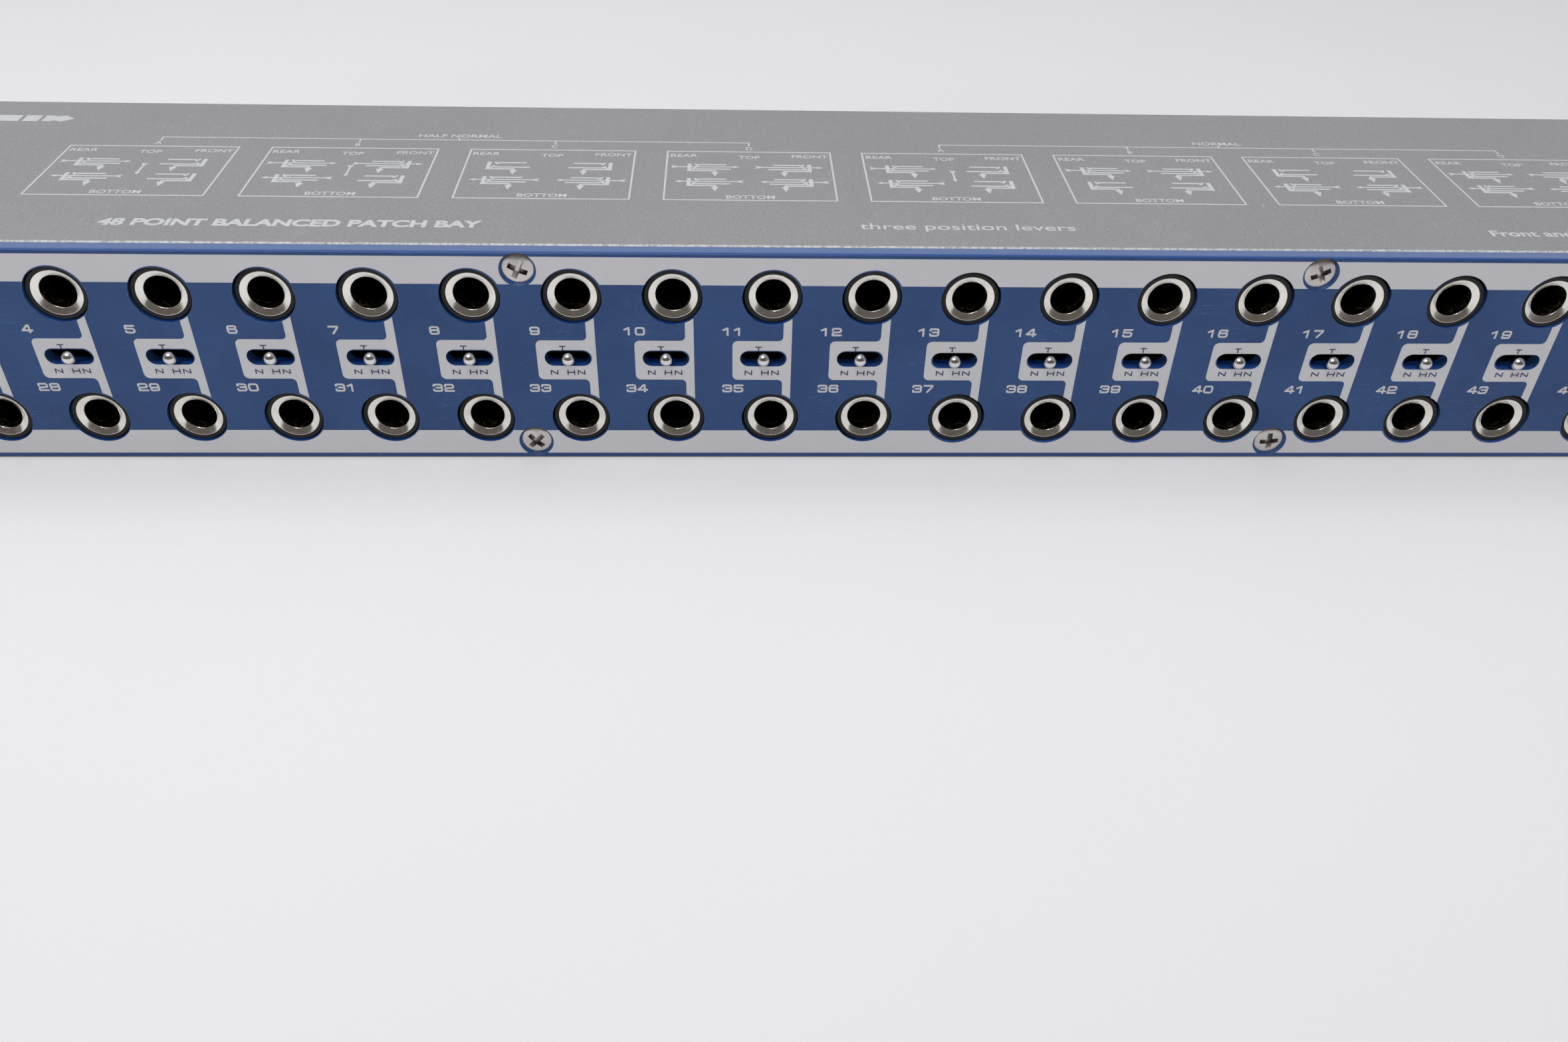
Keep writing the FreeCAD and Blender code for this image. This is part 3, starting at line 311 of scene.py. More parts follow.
def panel_paint():
    """Dark blue satin enamel with faint orange peel and scratches; edge wear with a painted edge
    highlight, painted light on upward faces, a paler painted sheen on top behind the front edge, and
    painted shade on downward faces.
    """
    finish = Finish("panel_blue_enamel", (0.012, 0.038, 0.122), 0.38)
    finish.shader.inputs["Specular IOR Level"].default_value = 0.35
    finish.round_edges(0.15)
    finish.paint(finish.noise(14), (0.018, 0.053, 0.160), 0.7)
    finish.paint(finish.noise(0.5), (0.028, 0.070, 0.180), 0.25)
    marks = finish.times(finish.threads(0.8, (14, 1, 1), 0.006), finish.noise(18, 0.5, 0.62))
    finish.paint(marks, (0.10, 0.20, 0.38), 0.5)
    # edge wear and a painted edge highlight: a paler blue along the edges, in patches
    edge_wear_and_highlight = finish.times(finish.edges(0.35, 2.0), finish.noise(1.2, 0.45, 0.6))
    finish.paint(edge_wear_and_highlight, (0.16, 0.27, 0.46), 0.55)
    # painted light: faces that point up are painted a brighter blue, as though lit from above
    upward = finish.facing(0.75, 0.98)
    finish.paint(upward, (0.014, 0.060, 0.260), 0.9)
    # painted sheen: the top face behind the front edge is painted paler, in place of the bright
    # reflection from above and behind
    painted_sheen_on_top = finish.times(upward, finish.between("Z", PANEL_HIGH.z - 2, PANEL_HIGH.z + 2))
    behind_edge = finish.between("Y", PANEL_LOW.y + 0.45, PANEL_HIGH.y + 2, 0.5)
    finish.paint(finish.times(painted_sheen_on_top, behind_edge), (0.115, 0.175, 0.335), 0.85)
    # painted shade: faces that point down are painted near black, a painted contact shadow along the
    # bottom edge
    finish.paint(finish.facing(-0.2, -0.6), (0.004, 0.006, 0.012), 0.9)
    finish.rub(finish.noise(3), 0.08)
    finish.rub(marks, 0.15)
    finish.emboss(finish.noise(0.35), 0.0035)
    return finish.done()


def speckled_grey(name, colour, dark, light, painted_bend_highlight=None):
    """Grey powder coat: fine light and dark specks and a pebbled surface."""
    finish = Finish(name, colour, 0.5)
    finish.round_edges(0.2)
    finish.paint(finish.noise(35), dark, 0.25)
    finish.paint(finish.noise(0.22, 0.48, 0.62), light, 0.55)
    finish.paint(finish.noise(0.3, 0.56, 0.66), dark, 0.6)
    finish.paint(finish.dots(1.6, 0.22, 0.25), light, 0.8)
    marks = finish.times(finish.threads(1.5, (1, 22, 1), 0.006), finish.noise(20, 0.52, 0.64))
    finish.paint(marks, light, 0.7)
    # edge wear and a painted edge highlight: a pale grey along the edges, in patches
    edge_wear_and_highlight = finish.times(finish.edges(0.5, 2.0), finish.noise(1.5, 0.4, 0.6))
    finish.paint(edge_wear_and_highlight, (0.62, 0.63, 0.65), 0.7)
    # painted highlight: a bright, broken grey line along the front bend, in place of the light the
    # bend catches
    if painted_bend_highlight:
        bright = finish.times(finish.between("Y", -1.0, 1.0, 0.35), finish.noise(0.6, 0.3, 0.6))
        finish.paint(bright, painted_bend_highlight, 0.75)
    finish.rub(finish.noise(0.3), 0.12)
    finish.emboss(finish.noise(0.28), 0.012)
    return finish.done()


def cover_paint():
    """Grey powder coat, with a painted highlight along the bend behind the front panel."""
    bend_highlight_grey = (0.66, 0.67, 0.68)
    return speckled_grey("cover_grey_powder", (0.248, 0.246, 0.256), (0.185, 0.184, 0.192),
                         (0.38, 0.38, 0.39), bend_highlight_grey)


def chassis_paint():
    return speckled_grey("chassis_grey_powder", (0.200, 0.200, 0.208), (0.14, 0.14, 0.148),
                         (0.31, 0.31, 0.325))


def ink(name, colour, thin, roughness=0.42):
    """Screen-printed ink: even, a little grainy, thinner in places."""
    finish = Finish(name, colour, roughness)
    finish.paint(finish.noise(9), thin, 0.35)
    finish.paint(finish.noise(0.25, 0.45, 0.6), thin, 0.30)
    finish.rub(finish.noise(2.5), 0.08)
    finish.emboss(finish.noise(0.3), 0.0025)
    return finish.done()


def bright_nickel(name, colour, roughness, grime, bore=None):
    """Plated metal: polished, with swirl marks and dull blotches; down a bore, painted shade near
    black with faint painted gold glints.
    """
    finish = Finish(name, colour, roughness, metallic=1.0)
    finish.paint(finish.noise(2.2, 0.5, 0.75), grime, 0.35)
    swirls = finish.threads(0.35, (6, 1, 1), 0.015)
    if bore:
        # painted shade: the bore past the lip is painted near black, as the inside of a deep hole
        shaded_bore = finish.between("Y", *bore)
        finish.paint(shaded_bore, (0.020, 0.017, 0.014))
        # painted glints: faint gold lines in the shaded bore stand in for lit springs deep inside
        glints = finish.times(shaded_bore, finish.threads(2.6, (1, 1, 1), 0.018))
        finish.paint(glints, (0.80, 0.60, 0.28), 0.6)
        finish.rub(shaded_bore, 0.3)
    finish.rub(swirls, 0.12)
    finish.rub(finish.noise(1.1), 0.09)
    finish.emboss(finish.noise(0.12), 0.0006)
    finish.emboss(swirls, 0.0004)
    return finish.done()


def black_plastic():
    """Moulded black plastic with a fine grain and a painted highlight along its edges."""
    finish = Finish("jack_black_plastic", (0.009, 0.009, 0.010), 0.46)
    finish.shader.inputs["Specular IOR Level"].default_value = 0.22
    finish.round_edges(0.4)
    finish.paint(finish.noise(6), (0.020, 0.019, 0.020), 0.6)
    # painted highlight: a lighter grey along the edges, as though they caught the light
    finish.paint(finish.edges(0.3, 2.0), (0.030, 0.030, 0.034), 0.5)
    finish.rub(finish.noise(0.4), 0.12)
    finish.emboss(finish.noise(0.18), 0.006)
    return finish.done()


def circuit_board():
    """Green solder resist over copper tracks, with the weave of the laminate."""
    finish = Finish("board_green_resist", (0.012, 0.085, 0.035), 0.34, coat=0.3)
    tracks = finish.put("TexBrick", {"Vector": finish.scaled((1, 1, 1)), "Scale": 0.22,
                                     "Mortar Size": 0.035, "Brick Width": 1.3,
                                     "Row Height": 0.42}).outputs["Fac"]
    finish.paint(tracks, (0.030, 0.170, 0.070), 0.85)
    finish.paint(finish.dots(2.54, 0.5, 0.35), (0.62, 0.60, 0.54), 0.9)
    finish.paint(finish.noise(1.0, stretch=(1, 1, 5)), (0.010, 0.065, 0.030), 0.35)
    edge = finish.edges(0.3, 2.5)
    finish.paint(edge, (0.42, 0.38, 0.20), 0.7)
    finish.emboss(tracks, 0.03)
    finish.emboss(finish.noise(0.6, stretch=(1, 1, 3)), 0.008)
    return finish.done()


def spring_bronze():
    """Rolled phosphor bronze strip, tarnished in patches."""
    finish = Finish("spring_phosphor_bronze", (0.62, 0.44, 0.22), 0.26, metallic=1.0)
    finish.paint(finish.noise(1.6), (0.42, 0.27, 0.13), 0.6)
    finish.rub(finish.threads(0.2, (1, 8, 1), 0.03), 0.15)
    finish.rub(finish.noise(0.9), 0.16)
    finish.emboss(finish.noise(0.15, stretch=(1, 6, 1)), 0.003)
    return finish.done()


def tinned_pins():
    """Tinned copper, soft and slightly uneven."""
    finish = Finish("pin_tinned_copper", (0.66, 0.64, 0.60), 0.3, metallic=1.0)
    finish.paint(finish.noise(0.8), (0.50, 0.45, 0.36), 0.5)
    finish.rub(finish.noise(0.5), 0.2)
    finish.emboss(finish.noise(0.4), 0.01)
    return finish.done()


def zinc_steel():
    """Zinc-plated steel strip with a cloudy passivation."""
    finish = Finish("switch_zinc_steel", (0.56, 0.57, 0.58), 0.3, metallic=1.0)
    finish.round_edges(0.12)
    finish.paint(finish.noise(2.0), (0.45, 0.47, 0.52), 0.6)
    # painted highlight: a bright band along the edges
    finish.paint(finish.edges(0.2, 2.0), (0.78, 0.78, 0.78), 0.5)
    finish.rub(finish.noise(0.7), 0.15)
    finish.rub(finish.threads(0.25, (9, 1, 1), 0.02), 0.15)
    finish.emboss(finish.noise(0.2), 0.002)
    return finish.done()


def mill_aluminium():
    """Extruded aluminium with long drawing lines."""
    finish = Finish("rail_mill_aluminium", (0.70, 0.71, 0.73), 0.32, metallic=1.0)
    finish.round_edges(0.2)
    lines = finish.noise(0.18, stretch=(60, 1, 1))
    finish.paint(lines, (0.60, 0.61, 0.63), 0.6)
    finish.rub(lines, 0.14)
    finish.rub(finish.noise(8), 0.08)
    finish.emboss(lines, 0.004)
    return finish.done()


def floor_paper():
    """Smooth pale background sheet, with painted shade in front of the object."""
    finish = Finish("floor_pale_sheet", (0.80, 0.80, 0.81), 0.62)
    finish.paint(finish.noise(60), (0.78, 0.78, 0.795), 0.6)
    finish.paint(finish.noise(0.8), (0.77, 0.77, 0.785), 0.4)
    # painted shade: the sheet in front of the object is painted greyer, as though shaded by it
    painted_shade_in_front = finish.between("Y", -13000, -20, 120)      # from past the floor's edge
    finish.paint(painted_shade_in_front, (0.67, 0.67, 0.685), 0.9)
    finish.emboss(finish.noise(0.7), 0.006)
    return finish.done()


# ---- mesh helpers ----


def rounded(corners, steps=5):
    """An outline whose corners (x, y, radius) become arcs of that radius."""
    points = []
    for index, (x, y, radius) in enumerate(corners):
        corner = Vector((x, y))
        if radius == 0:
            points.append(corner)
            continue
        before = Vector(corners[index - 1][:2]) - corner
        after = Vector(corners[(index + 1) % len(corners)][:2]) - corner
        before.normalize()
        after.normalize()
        half = before.angle(after) / 2
        centre = corner + (before + after).normalized() * radius / math.sin(half)
        start = corner + before * radius / math.tan(half) - centre
        end = corner + after * radius / math.tan(half) - centre
        sweep = start.angle_signed(end)
        for step in range(steps + 1):
            points.append(centre + Matrix.Rotation(-sweep * step / steps, 2) @ start)
    return points


def circle(x, y, radius, steps=SIDES):
    return [Vector((x + radius * math.cos(TURN * k / steps), y + radius * math.sin(TURN * k / steps)))
            for k in range(steps)]


def bar(left, bottom, right, top):
    return [Vector(point) for point in ((left, bottom), (right, bottom), (right, top), (left, top))]


def stadium(x, y, wide, high):
    radius = high / 2
    side = wide / 2
    corners = [(x - side, y - radius, radius), (x + side, y - radius, radius),
               (x + side, y + radius, radius), (x - side, y + radius, radius)]
    return rounded(corners, steps=16)


def stroke(points, wide):
    """A drawn line with square ends: an outline for each run, mitred at a slight bend, with a disc
    at a sharp one."""
    points = [Vector(point) for point in points]
    points = points[:1] + [b for a, b in zip(points, points[1:]) if (b - a).length > SAME_POINT]
    half = wide / 2
    points[0] = points[0] + (points[0] - points[1]).normalized() * half
    points[-1] = points[-1] + (points[-1] - points[-2]).normalized() * half
    runs = [end - start for start, end in zip(points, points[1:])]
    sides = [Vector((-run.y, run.x)).normalized() * half for run in runs]
    outlines, starts, ends = [], [sides[0]], []
    for k, joint in enumerate(points[1:-1]):
        before, after = sides[k], sides[k + 1]
        bend = before.angle(after)
        shortest = min(runs[k].length, runs[k + 1].length)
        if bend < SLIGHT_BEND and half * math.tan(bend / 2) < shortest / 2:
            both = before + after
            mitre = both * 2 * half * half / both.length_squared
            ends.append(mitre)
            starts.append(mitre)
        else:
            ends.append(before)
            starts.append(after)
            outlines.append(circle(joint.x, joint.y, half, DISC_SIDES))
    ends.append(sides[-1])
    for start, end, first, last in zip(points, points[1:], starts, ends):
        outlines.append([start - first, end - last, end + last, start + first])
    return outlines


def area(outline):
    """Positive where the outline runs anticlockwise."""
    return sum(a.x * b.y - b.x * a.y for a, b in zip(outline, outline[1:] + outline[:1])) / 2


def region(adds, cuts=()):
    """Points and triangles of everything inside the first outlines and outside the second."""
    points, faces = [], []
    for outline in [*adds, *cuts]:
        faces.append(list(range(len(points), len(points) + len(outline))))
        outline = [Vector(point) for point in outline]
        points += outline if area(outline) > 0 else outline[::-1]
    found = delaunay_2d_cdt(points, [], faces, 0, MERGE)
    kept = [triangle for triangle, owners in zip(found[2], found[5])
            if owners and all(owner < len(adds) for owner in owners)]
    return found[0], kept


def add_slab(shape, flat, plane, low, high):
    """Gives a flat drawing a thickness, from low to high millimetres off its plane."""
    points, triangles = flat
    edges = dict.fromkeys((a, b) for triangle in triangles
                          for a, b in zip(triangle, [*triangle[1:], triangle[0]]))
    used = sorted({index for triangle in triangles for index in triangle})
    top = {k: shape.verts.new(plane @ Vector((*points[k], high)) * MM) for k in used}
    base = {k: shape.verts.new(plane @ Vector((*points[k], low)) * MM) for k in used}
    for triangle in triangles:
        shape.faces.new([top[k] for k in triangle])
        shape.faces.new([base[k] for k in reversed(triangle)])
    for a, b in edges:
        if (b, a) not in edges:
            shape.faces.new((base[a], base[b], top[b], top[a]))


def turned(shape, outline, place):
    """Turns a closed outline of (depth, radius) about the place's own Z axis."""
    rings = []
    for depth, radius in outline:
        if radius < 1e-6:
            rings.append([shape.verts.new(place @ Vector((0, 0, depth)) * MM)])
            continue
        rings.append([
            shape.verts.new(place @ Vector((radius * math.cos(TURN * k / SIDES),
                                            radius * math.sin(TURN * k / SIDES), depth)) * MM)
            for k in range(SIDES)
        ])
    for ring, following in zip(rings, rings[1:] + rings[:1]):
        if len(ring) == len(following) == 1:
            continue
        for k in range(SIDES):
            corners = [ring[k % len(ring)], ring[(k + 1) % len(ring)],
                       following[(k + 1) % len(following)], following[k % len(following)]]
            shape.faces.new(list(dict.fromkeys(corners)))


def inward(centre, face_y):
    """A frame at a jack's or screw's face whose Z axis runs into the object."""
    ahead = 1 if face_y < centre.y else -1
    turn = Matrix.Rotation(-math.pi / 2 * ahead, 4, "X")
    return Matrix.Translation((centre.x, face_y, centre.z)) @ turn


def add_piece(name, shape, material, body="chassis", instead_of=(), smooth=40):
    """Makes a piece of a finished shape, shaded smooth up to an angle in degrees."""
    bmesh.ops.recalc_face_normals(shape, faces=shape.faces)
    mesh = bpy.data.meshes.new(name)
    shape.to_mesh(mesh)
    shape.free()
    for face in mesh.polygons:
        face.use_smooth = True
    mesh.set_sharp_from_angle(angle=math.radians(smooth))
    mesh.materials.append(material)
    piece = bpy.data.objects.new(name, mesh)
    bpy.context.scene.collection.objects.link(piece)
    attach(piece, body)
    if instead_of:
        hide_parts(*instead_of)
    return piece


# ---- lettering: words in the built-in font, and stroked numerals and capitals ----

CAP = 0.729                 # height of a capital in the font, of its size
FRONT_PLANE = Matrix.Translation((0, PANEL_LOW.y, 0)) @ Matrix.Rotation(math.pi / 2, 4, "X")
TOP_PLANE = Matrix.Translation((0, 0, COVER_HIGH.z))
REAR_PLANE = (Matrix.Translation((0, REAR_HIGH.y, 0)) @ Matrix.Rotation(math.pi, 4, "Z")
              @ Matrix.Rotation(math.pi / 2, 4, "X"))
glyphs = {}


def lettering(words, high, stretch, bold):
    """Points and triangles of words centred on the origin, high millimetres tall."""
    key = (words, high, stretch, bold)
    if key in glyphs:
        return glyphs[key]
    curve = bpy.data.curves.new("words", "FONT")
    curve.body = words
    curve.offset = bold
    curve.resolution_u = 5
    holder = bpy.data.objects.new("words", curve)
    bpy.context.scene.collection.objects.link(holder)
    ready = holder.evaluated_get(bpy.context.evaluated_depsgraph_get())
    mesh = bpy.data.meshes.new_from_object(ready)
    size = high / CAP
    xs = [v.co.x for v in mesh.vertices]
    middle = (min(xs) + max(xs)) / 2
    flat = [Vector(((v.co.x - middle) * size * stretch, v.co.y * size - high / 2))
            for v in mesh.vertices]
    outlines = [[flat[index] for index in face.vertices] for face in mesh.polygons]
    outlines = [outline for outline in outlines if abs(area(outline)) > THIN_FACE]
    bpy.data.objects.remove(holder)
    bpy.data.curves.remove(curve)
    bpy.data.meshes.remove(mesh)
    glyphs[key] = region(outlines)
    return glyphs[key]


def moved(flat, x, y):
    """A flat drawing shifted by x and y millimetres."""
    return [point + Vector((x, y)) for point in flat[0]], flat[1]


# lines of each numeral and capital in a unit square; a corner's third value rounds it
STROKES = {
    "0": [[(0.5, 1, 0), (0, 1, 1), (0, 0, 1), (1, 0, 1), (1, 1, 1), (0.5, 1, 0)]],
    "1": [[(0.05, 0.74, 0), (0.55, 1, 0), (0.55, 0, 0)]],
    "2": [[(0, 0.72, 0), (0, 1, 0.6), (1, 1, 1), (1, 0.48, 0.8), (0, 0.42, 0.8), (0, 0, 0),
           (1, 0, 0)]],
    "3": [[(0, 0.8, 0), (0, 1, 0.5), (1, 1, 1), (1, 0.52, 0.7), (0.35, 0.52, 0)],
          [(0.35, 0.52, 0), (1, 0.52, 0.7), (1, 0, 1), (0, 0, 0.5), (0, 0.22, 0)]],
    "4": [[(1.04, 0.26, 0), (-0.05, 0.26, 0), (0.62, 1, 0), (0.76, 1, 0), (0.76, 0, 0)]],
    "5": [[(1, 1, 0), (0.04, 1, 0), (0, 0.58, 0), (1, 0.58, 1), (1, 0, 1), (0, 0, 0.6),
           (0, 0.2, 0)]],
    "6": [[(0.96, 0.82, 0), (0.96, 1, 0.5), (0, 1, 1), (0, 0, 1), (1, 0, 1), (1, 0.56, 0.9),
           (0.05, 0.56, 0)]],
    "7": [[(0, 1, 0), (1, 1, 0), (1, 0.86, 0), (0.42, 0, 0)]],
    "8": [[(0.5, 1, 0), (0, 1, 1), (0, 0.53, 0.7), (1, 0.53, 0.7), (1, 1, 1), (0.5, 1, 0)],
          [(0.5, 0.53, 0), (0, 0.53, 0.7), (0, 0, 1), (1, 0, 1), (1, 0.53, 0.7),
           (0.5, 0.53, 0)]],
    "9": [[(0.04, 0.18, 0), (0.04, 0, 0.5), (1, 0, 1), (1, 1, 1), (0, 1, 1), (0, 0.44, 0.9),
           (0.95, 0.44, 0)]],
    "T": [[(0, 1, 0), (1, 1, 0)], [(0.5, 1, 0), (0.5, 0, 0)]],
    "N": [[(0, 0, 0), (0, 1, 0), (1, 0, 0), (1, 1, 0)]],
    "H": [[(0, 0, 0), (0, 1, 0)], [(1, 0, 0), (1, 1, 0)], [(0, 0.5, 0), (1, 0.5, 0)]],
}


def drawn(words, wide, high, line, gap, corner=0.0):
    """Points and triangles of stroked characters, each wide by high with a gap between them, in
    lines of that width with corners of that radius, centred on the origin."""
    key = (words, wide, high, line)
    if key in glyphs:
        return glyphs[key]
    inner_wide, inner_high = wide - line, high - line
    step = wide + gap
    start = -(len(words) * step - gap) / 2 + line / 2
    outlines = []
    for index, character in enumerate(words):
        for path in STROKES[character]:
            points = [(start + index * step + x * inner_wide, (y - 0.5) * inner_high,
                       radius * corner) for x, y, radius in path]
            outlines += stroke(rounded(points, 4), line)
    glyphs[key] = region(outlines)
    return glyphs[key]


INK_LOW, INK_HIGH = -0.010, 0.025    # mm, where ink starts and ends off its surface
LABEL_LOW, LABEL_HIGH = INK_HIGH - 0.005, INK_HIGH + 0.012     # and ink over that ink


# ---- the front panel's print ----

BAND_TOP = (15.88, 21.3)
BAND_BOTTOM = (-20.88, -15.59)
BAND_END = 222.0
HOLE_CLEAR = 5.62           # radius left unprinted round a socket
SCREW_CLEAR = 3.32          # and round a screw
SLOT_WIDE, SLOT_HIGH = 8.75, 3.4           # left unprinted round a lever's slot
SCREW_SPOTS = [screw[0] for screw in solids("front_panel_screws")]
LABEL_BOX = (-7.28, -4.0, 3.75, 4.41)      # left, bottom, right, top, from the column
BOX_ROUND, INNER_ROUND = 1.0, 0.9          # corner radii of the box, and where the strip starts
STRIP_LEFT = 2.16
STRIP_REACH = (-9.6, 9.6)
NUMBER_X = -7.2
NUMBER_ROWS = {0: 6.4, 24: -5.95}          # height of a row's numbers, by what it adds to n
LABELS = (("T", 1.22, -2.4, 2.72), ("N", 1.45, -4.28, -2.45), ("HN", 1.45, -0.2, -2.45))


def front_silver():
    """The silver bands, and round each lever its box and the strip that joins its sockets."""
    bands = [bar(-BAND_END, low, BAND_END, high) for low, high in (BAND_TOP, BAND_BOTTOM)]
    cuts = [circle(jack[0].x, jack[0].z, HOLE_CLEAR) for jack in FRONT_JACKS]
    cuts += [circle(spot.x, spot.z, SCREW_CLEAR) for spot in SCREW_SPOTS]
    left, bottom, right, top = LABEL_BOX
    low, high = STRIP_REACH
    for n in COLUMNS:
        x = column_x(n)
        inside = x + STRIP_LEFT
        bands.append(rounded([
            (x + left, bottom, BOX_ROUND), (inside, bottom, INNER_ROUND), (inside, low, 0),
            (x + right, low, 0), (x + right, high, 0), (inside, high, 0),
            (inside, top, INNER_ROUND), (x + left, top, BOX_ROUND),
        ]))
        lever_low, lever_high = LEVERS[n]
        middle = (lever_low + lever_high) / 2
        cuts.append(stadium(middle.x, middle.z, SLOT_WIDE, SLOT_HIGH))
    shape = bmesh.new()
    add_slab(shape, region(bands, cuts), FRONT_PLANE, INK_LOW, INK_HIGH)
    for n in COLUMNS:
        for offset, level in NUMBER_ROWS.items():
            flat = drawn(str(n + offset), wide=1.88, high=1.76, line=0.37, gap=0.24, corner=0.34)
            add_slab(shape, moved(flat, column_x(n) + NUMBER_X, level), FRONT_PLANE,
                     INK_LOW, INK_HIGH)
    return shape


def front_labels():
    """The three lever positions, printed on the silver boxes."""
    shape = bmesh.new()
    for n in COLUMNS:
        for words, wide, x, level in LABELS:
            flat = drawn(words, wide, high=1.04, line=0.23, gap=0.45)
            add_slab(shape, moved(flat, column_x(n) + x, level), FRONT_PLANE,
                     LABEL_LOW, LABEL_HIGH)
    return shape


# ---- the cover's print: how the levers link the sockets ----

BOX_PITCH = 39.85
BOX_LEFT = -167.17
BOX_WIDE = 33.26
BOX_LOW, BOX_HIGH = 19.85, 43.32
BOX_LINE, BRACKET_LINE, SPRING_LINE, PLUG_LINE = 0.37, 0.33, 0.5, 0.42
BRACKET_UP, BRACKET_STEM, BRACKET_FOOT = 4.8, 0.9, 1.6    # above the boxes, upward, downward
PLUG_LONG = 14.6
PLUG_START = {"rear": 0.9, "front": 17.7}
SMALL_BOLD = 0.012
ROWS = {"top": -7.75, "bottom": -14.85}    # sockets of a drawing, below its upper edge
# sockets with a plug in each drawing, as (side, row), and whether front and rear are linked
HALF_NORMAL = [
    ({("rear", "top"), ("rear", "bottom")}, True),
    ({("rear", "top"), ("front", "top"), ("rear", "bottom")}, True),
    ({("rear", "bottom"), ("front", "bottom")}, False),
    ({("rear", "top"), ("front", "top"), ("rear", "bottom"), ("front", "bottom")}, False),
]
NORMAL = [
    ({("rear", "top"), ("rear", "bottom")}, True),
    ({("rear", "top"), ("front", "top")}, False),
    ({("rear", "bottom"), ("front", "bottom")}, False),
    ({("rear", "top"), ("front", "top"), ("rear", "bottom"), ("front", "bottom")}, False),
]


def arrow(tail, tip, y):
    """A plug seen from the side: a feathered tail, a shaft and a head."""
    ahead = math.copysign(1, tip - tail)
    shaft = stroke([(tail + ahead, y), (tip - ahead, y)], PLUG_LINE)
    feather = [(tail, y + 0.68), (tail + 1.2 * ahead, y + 0.3), (tail + 1.2 * ahead, y - 0.3),
               (tail, y - 0.68), (tail + 0.4 * ahead, y)]
    head = [(tip - 1.15 * ahead, y - 0.55), (tip, y), (tip - 1.15 * ahead, y + 0.55)]
    return [*shaft, feather, head]


def jack_drawing():
    """One socket in section: its sleeve, two springs with their contacts, and the ground."""
    outlines = [bar(4.2, -2.2, 5.0, 1.5)]
    outlines += stroke([(5.8, 1.3), (6.15, 0.6), (6.6, 1.12), (11.7, 1.12)], SPRING_LINE)
    outlines += stroke([(5.3, -1.3), (5.65, -0.55), (6.1, -1.08), (12.6, -1.08)], SPRING_LINE)
    outlines += stroke([(4.8, -1.92), (9.73, -1.92), (9.73, -2.6)], SPRING_LINE)
    outlines.append([(8.95, -2.5), (10.5, -2.5), (9.73, -4.6)])
    return outlines


def link_drawing(plugs, linked):
    """The outlines of one drawing, with its upper left corner at the origin."""
    high = BOX_HIGH - BOX_LOW
    frame_line = [(0, 0), (BOX_WIDE, 0), (BOX_WIDE, -high), (0, -high), (0, 0)]
    outlines = stroke(frame_line, BOX_LINE)
    for side in ("rear", "front"):
        for row, level in ROWS.items():
            lines = [[Vector((x, y + level)) for x, y in part] for part in jack_drawing()]
            if side == "front":
                lines = [[Vector((BOX_WIDE - p.x, p.y)) for p in part] for part in lines]
            if (side, row) in plugs:
                start = PLUG_START[side]
                end = start + PLUG_LONG
                if row == "top":
                    lines += arrow(start, end - 0.9, level)
                else:
                    lines += arrow(end - 0.1, start + 0.9, level)
            outlines += lines
    if linked:
        link = arrow(0, 5.6, 0)
        outlines += [[Vector((17.6 + y, -8.4 - x)) for x, y in map(tuple, part)] for part in link]
    return outlines


def cover_lines():
    """Every drawing, and the bracket over each group of four."""
    outlines = []
    for group, drawings in enumerate((HALF_NORMAL, NORMAL)):
        middles = []
        for index, (plugs, linked) in enumerate(drawings):
            left = BOX_LEFT + BOX_PITCH * (4 * group + index)
            middles.append(left + BOX_WIDE / 2)
            outlines += [[Vector((left + p[0], BOX_HIGH + p[1])) for p in part]
                         for part in link_drawing(plugs, linked)]
        level = BOX_HIGH + BRACKET_UP
        outlines += stroke([(middles[0], level), (middles[-1], level)], BRACKET_LINE)
        for x in middles:
            outlines += stroke([(x, level), (x, level - BRACKET_FOOT)], BRACKET_LINE)
        centre = (middles[0] + middles[-1]) / 2
        outlines += stroke([(centre, level), (centre, level + BRACKET_STEM)], BRACKET_LINE)
    return outlines


def cover_words():
    """Each word as (text, x, y, height, stretch, boldness)."""
    words = []
    for group, title in enumerate(("HALF NORMAL", "NORMAL")):
        for index, letter in enumerate("ABCD"):
            left = BOX_LEFT + BOX_PITCH * (4 * group + index)
            middle = left + BOX_WIDE / 2
            words.append((letter, middle, BOX_HIGH + 1.9, 1.45, 1.0, SMALL_BOLD))
            words.append(("REAR", left + 3.4, BOX_HIGH - 2.05, 1.5, 1.12, SMALL_BOLD))
            words.append(("TOP", middle, BOX_HIGH - 2.7, 1.5, 1.1, SMALL_BOLD))
            words.append(("FRONT", left + 29.0, BOX_HIGH - 2.05, 1.5, 1.12, SMALL_BOLD))
            words.append(("BOTTOM", middle, BOX_LOW + 1.55, 1.5, 1.12, SMALL_BOLD))
        first = BOX_LEFT + BOX_WIDE / 2 + BOX_PITCH * 4 * group
        words.append((title, first + 1.5 * BOX_PITCH, BOX_HIGH + 7.0, 1.65, 1.12, SMALL_BOLD))
    words.append(("48 POINT BALANCED PATCH BAY", -114.6, 8.6, 2.7, 1.205, 0.042))
    words.append(("three position levers", 9.2, 9.0, 2.6, 1.35, 0.004))
    words.append(("Front and rear jacks", 125.0, 8.0, 2.4, 1.25, 0.02))
    return words


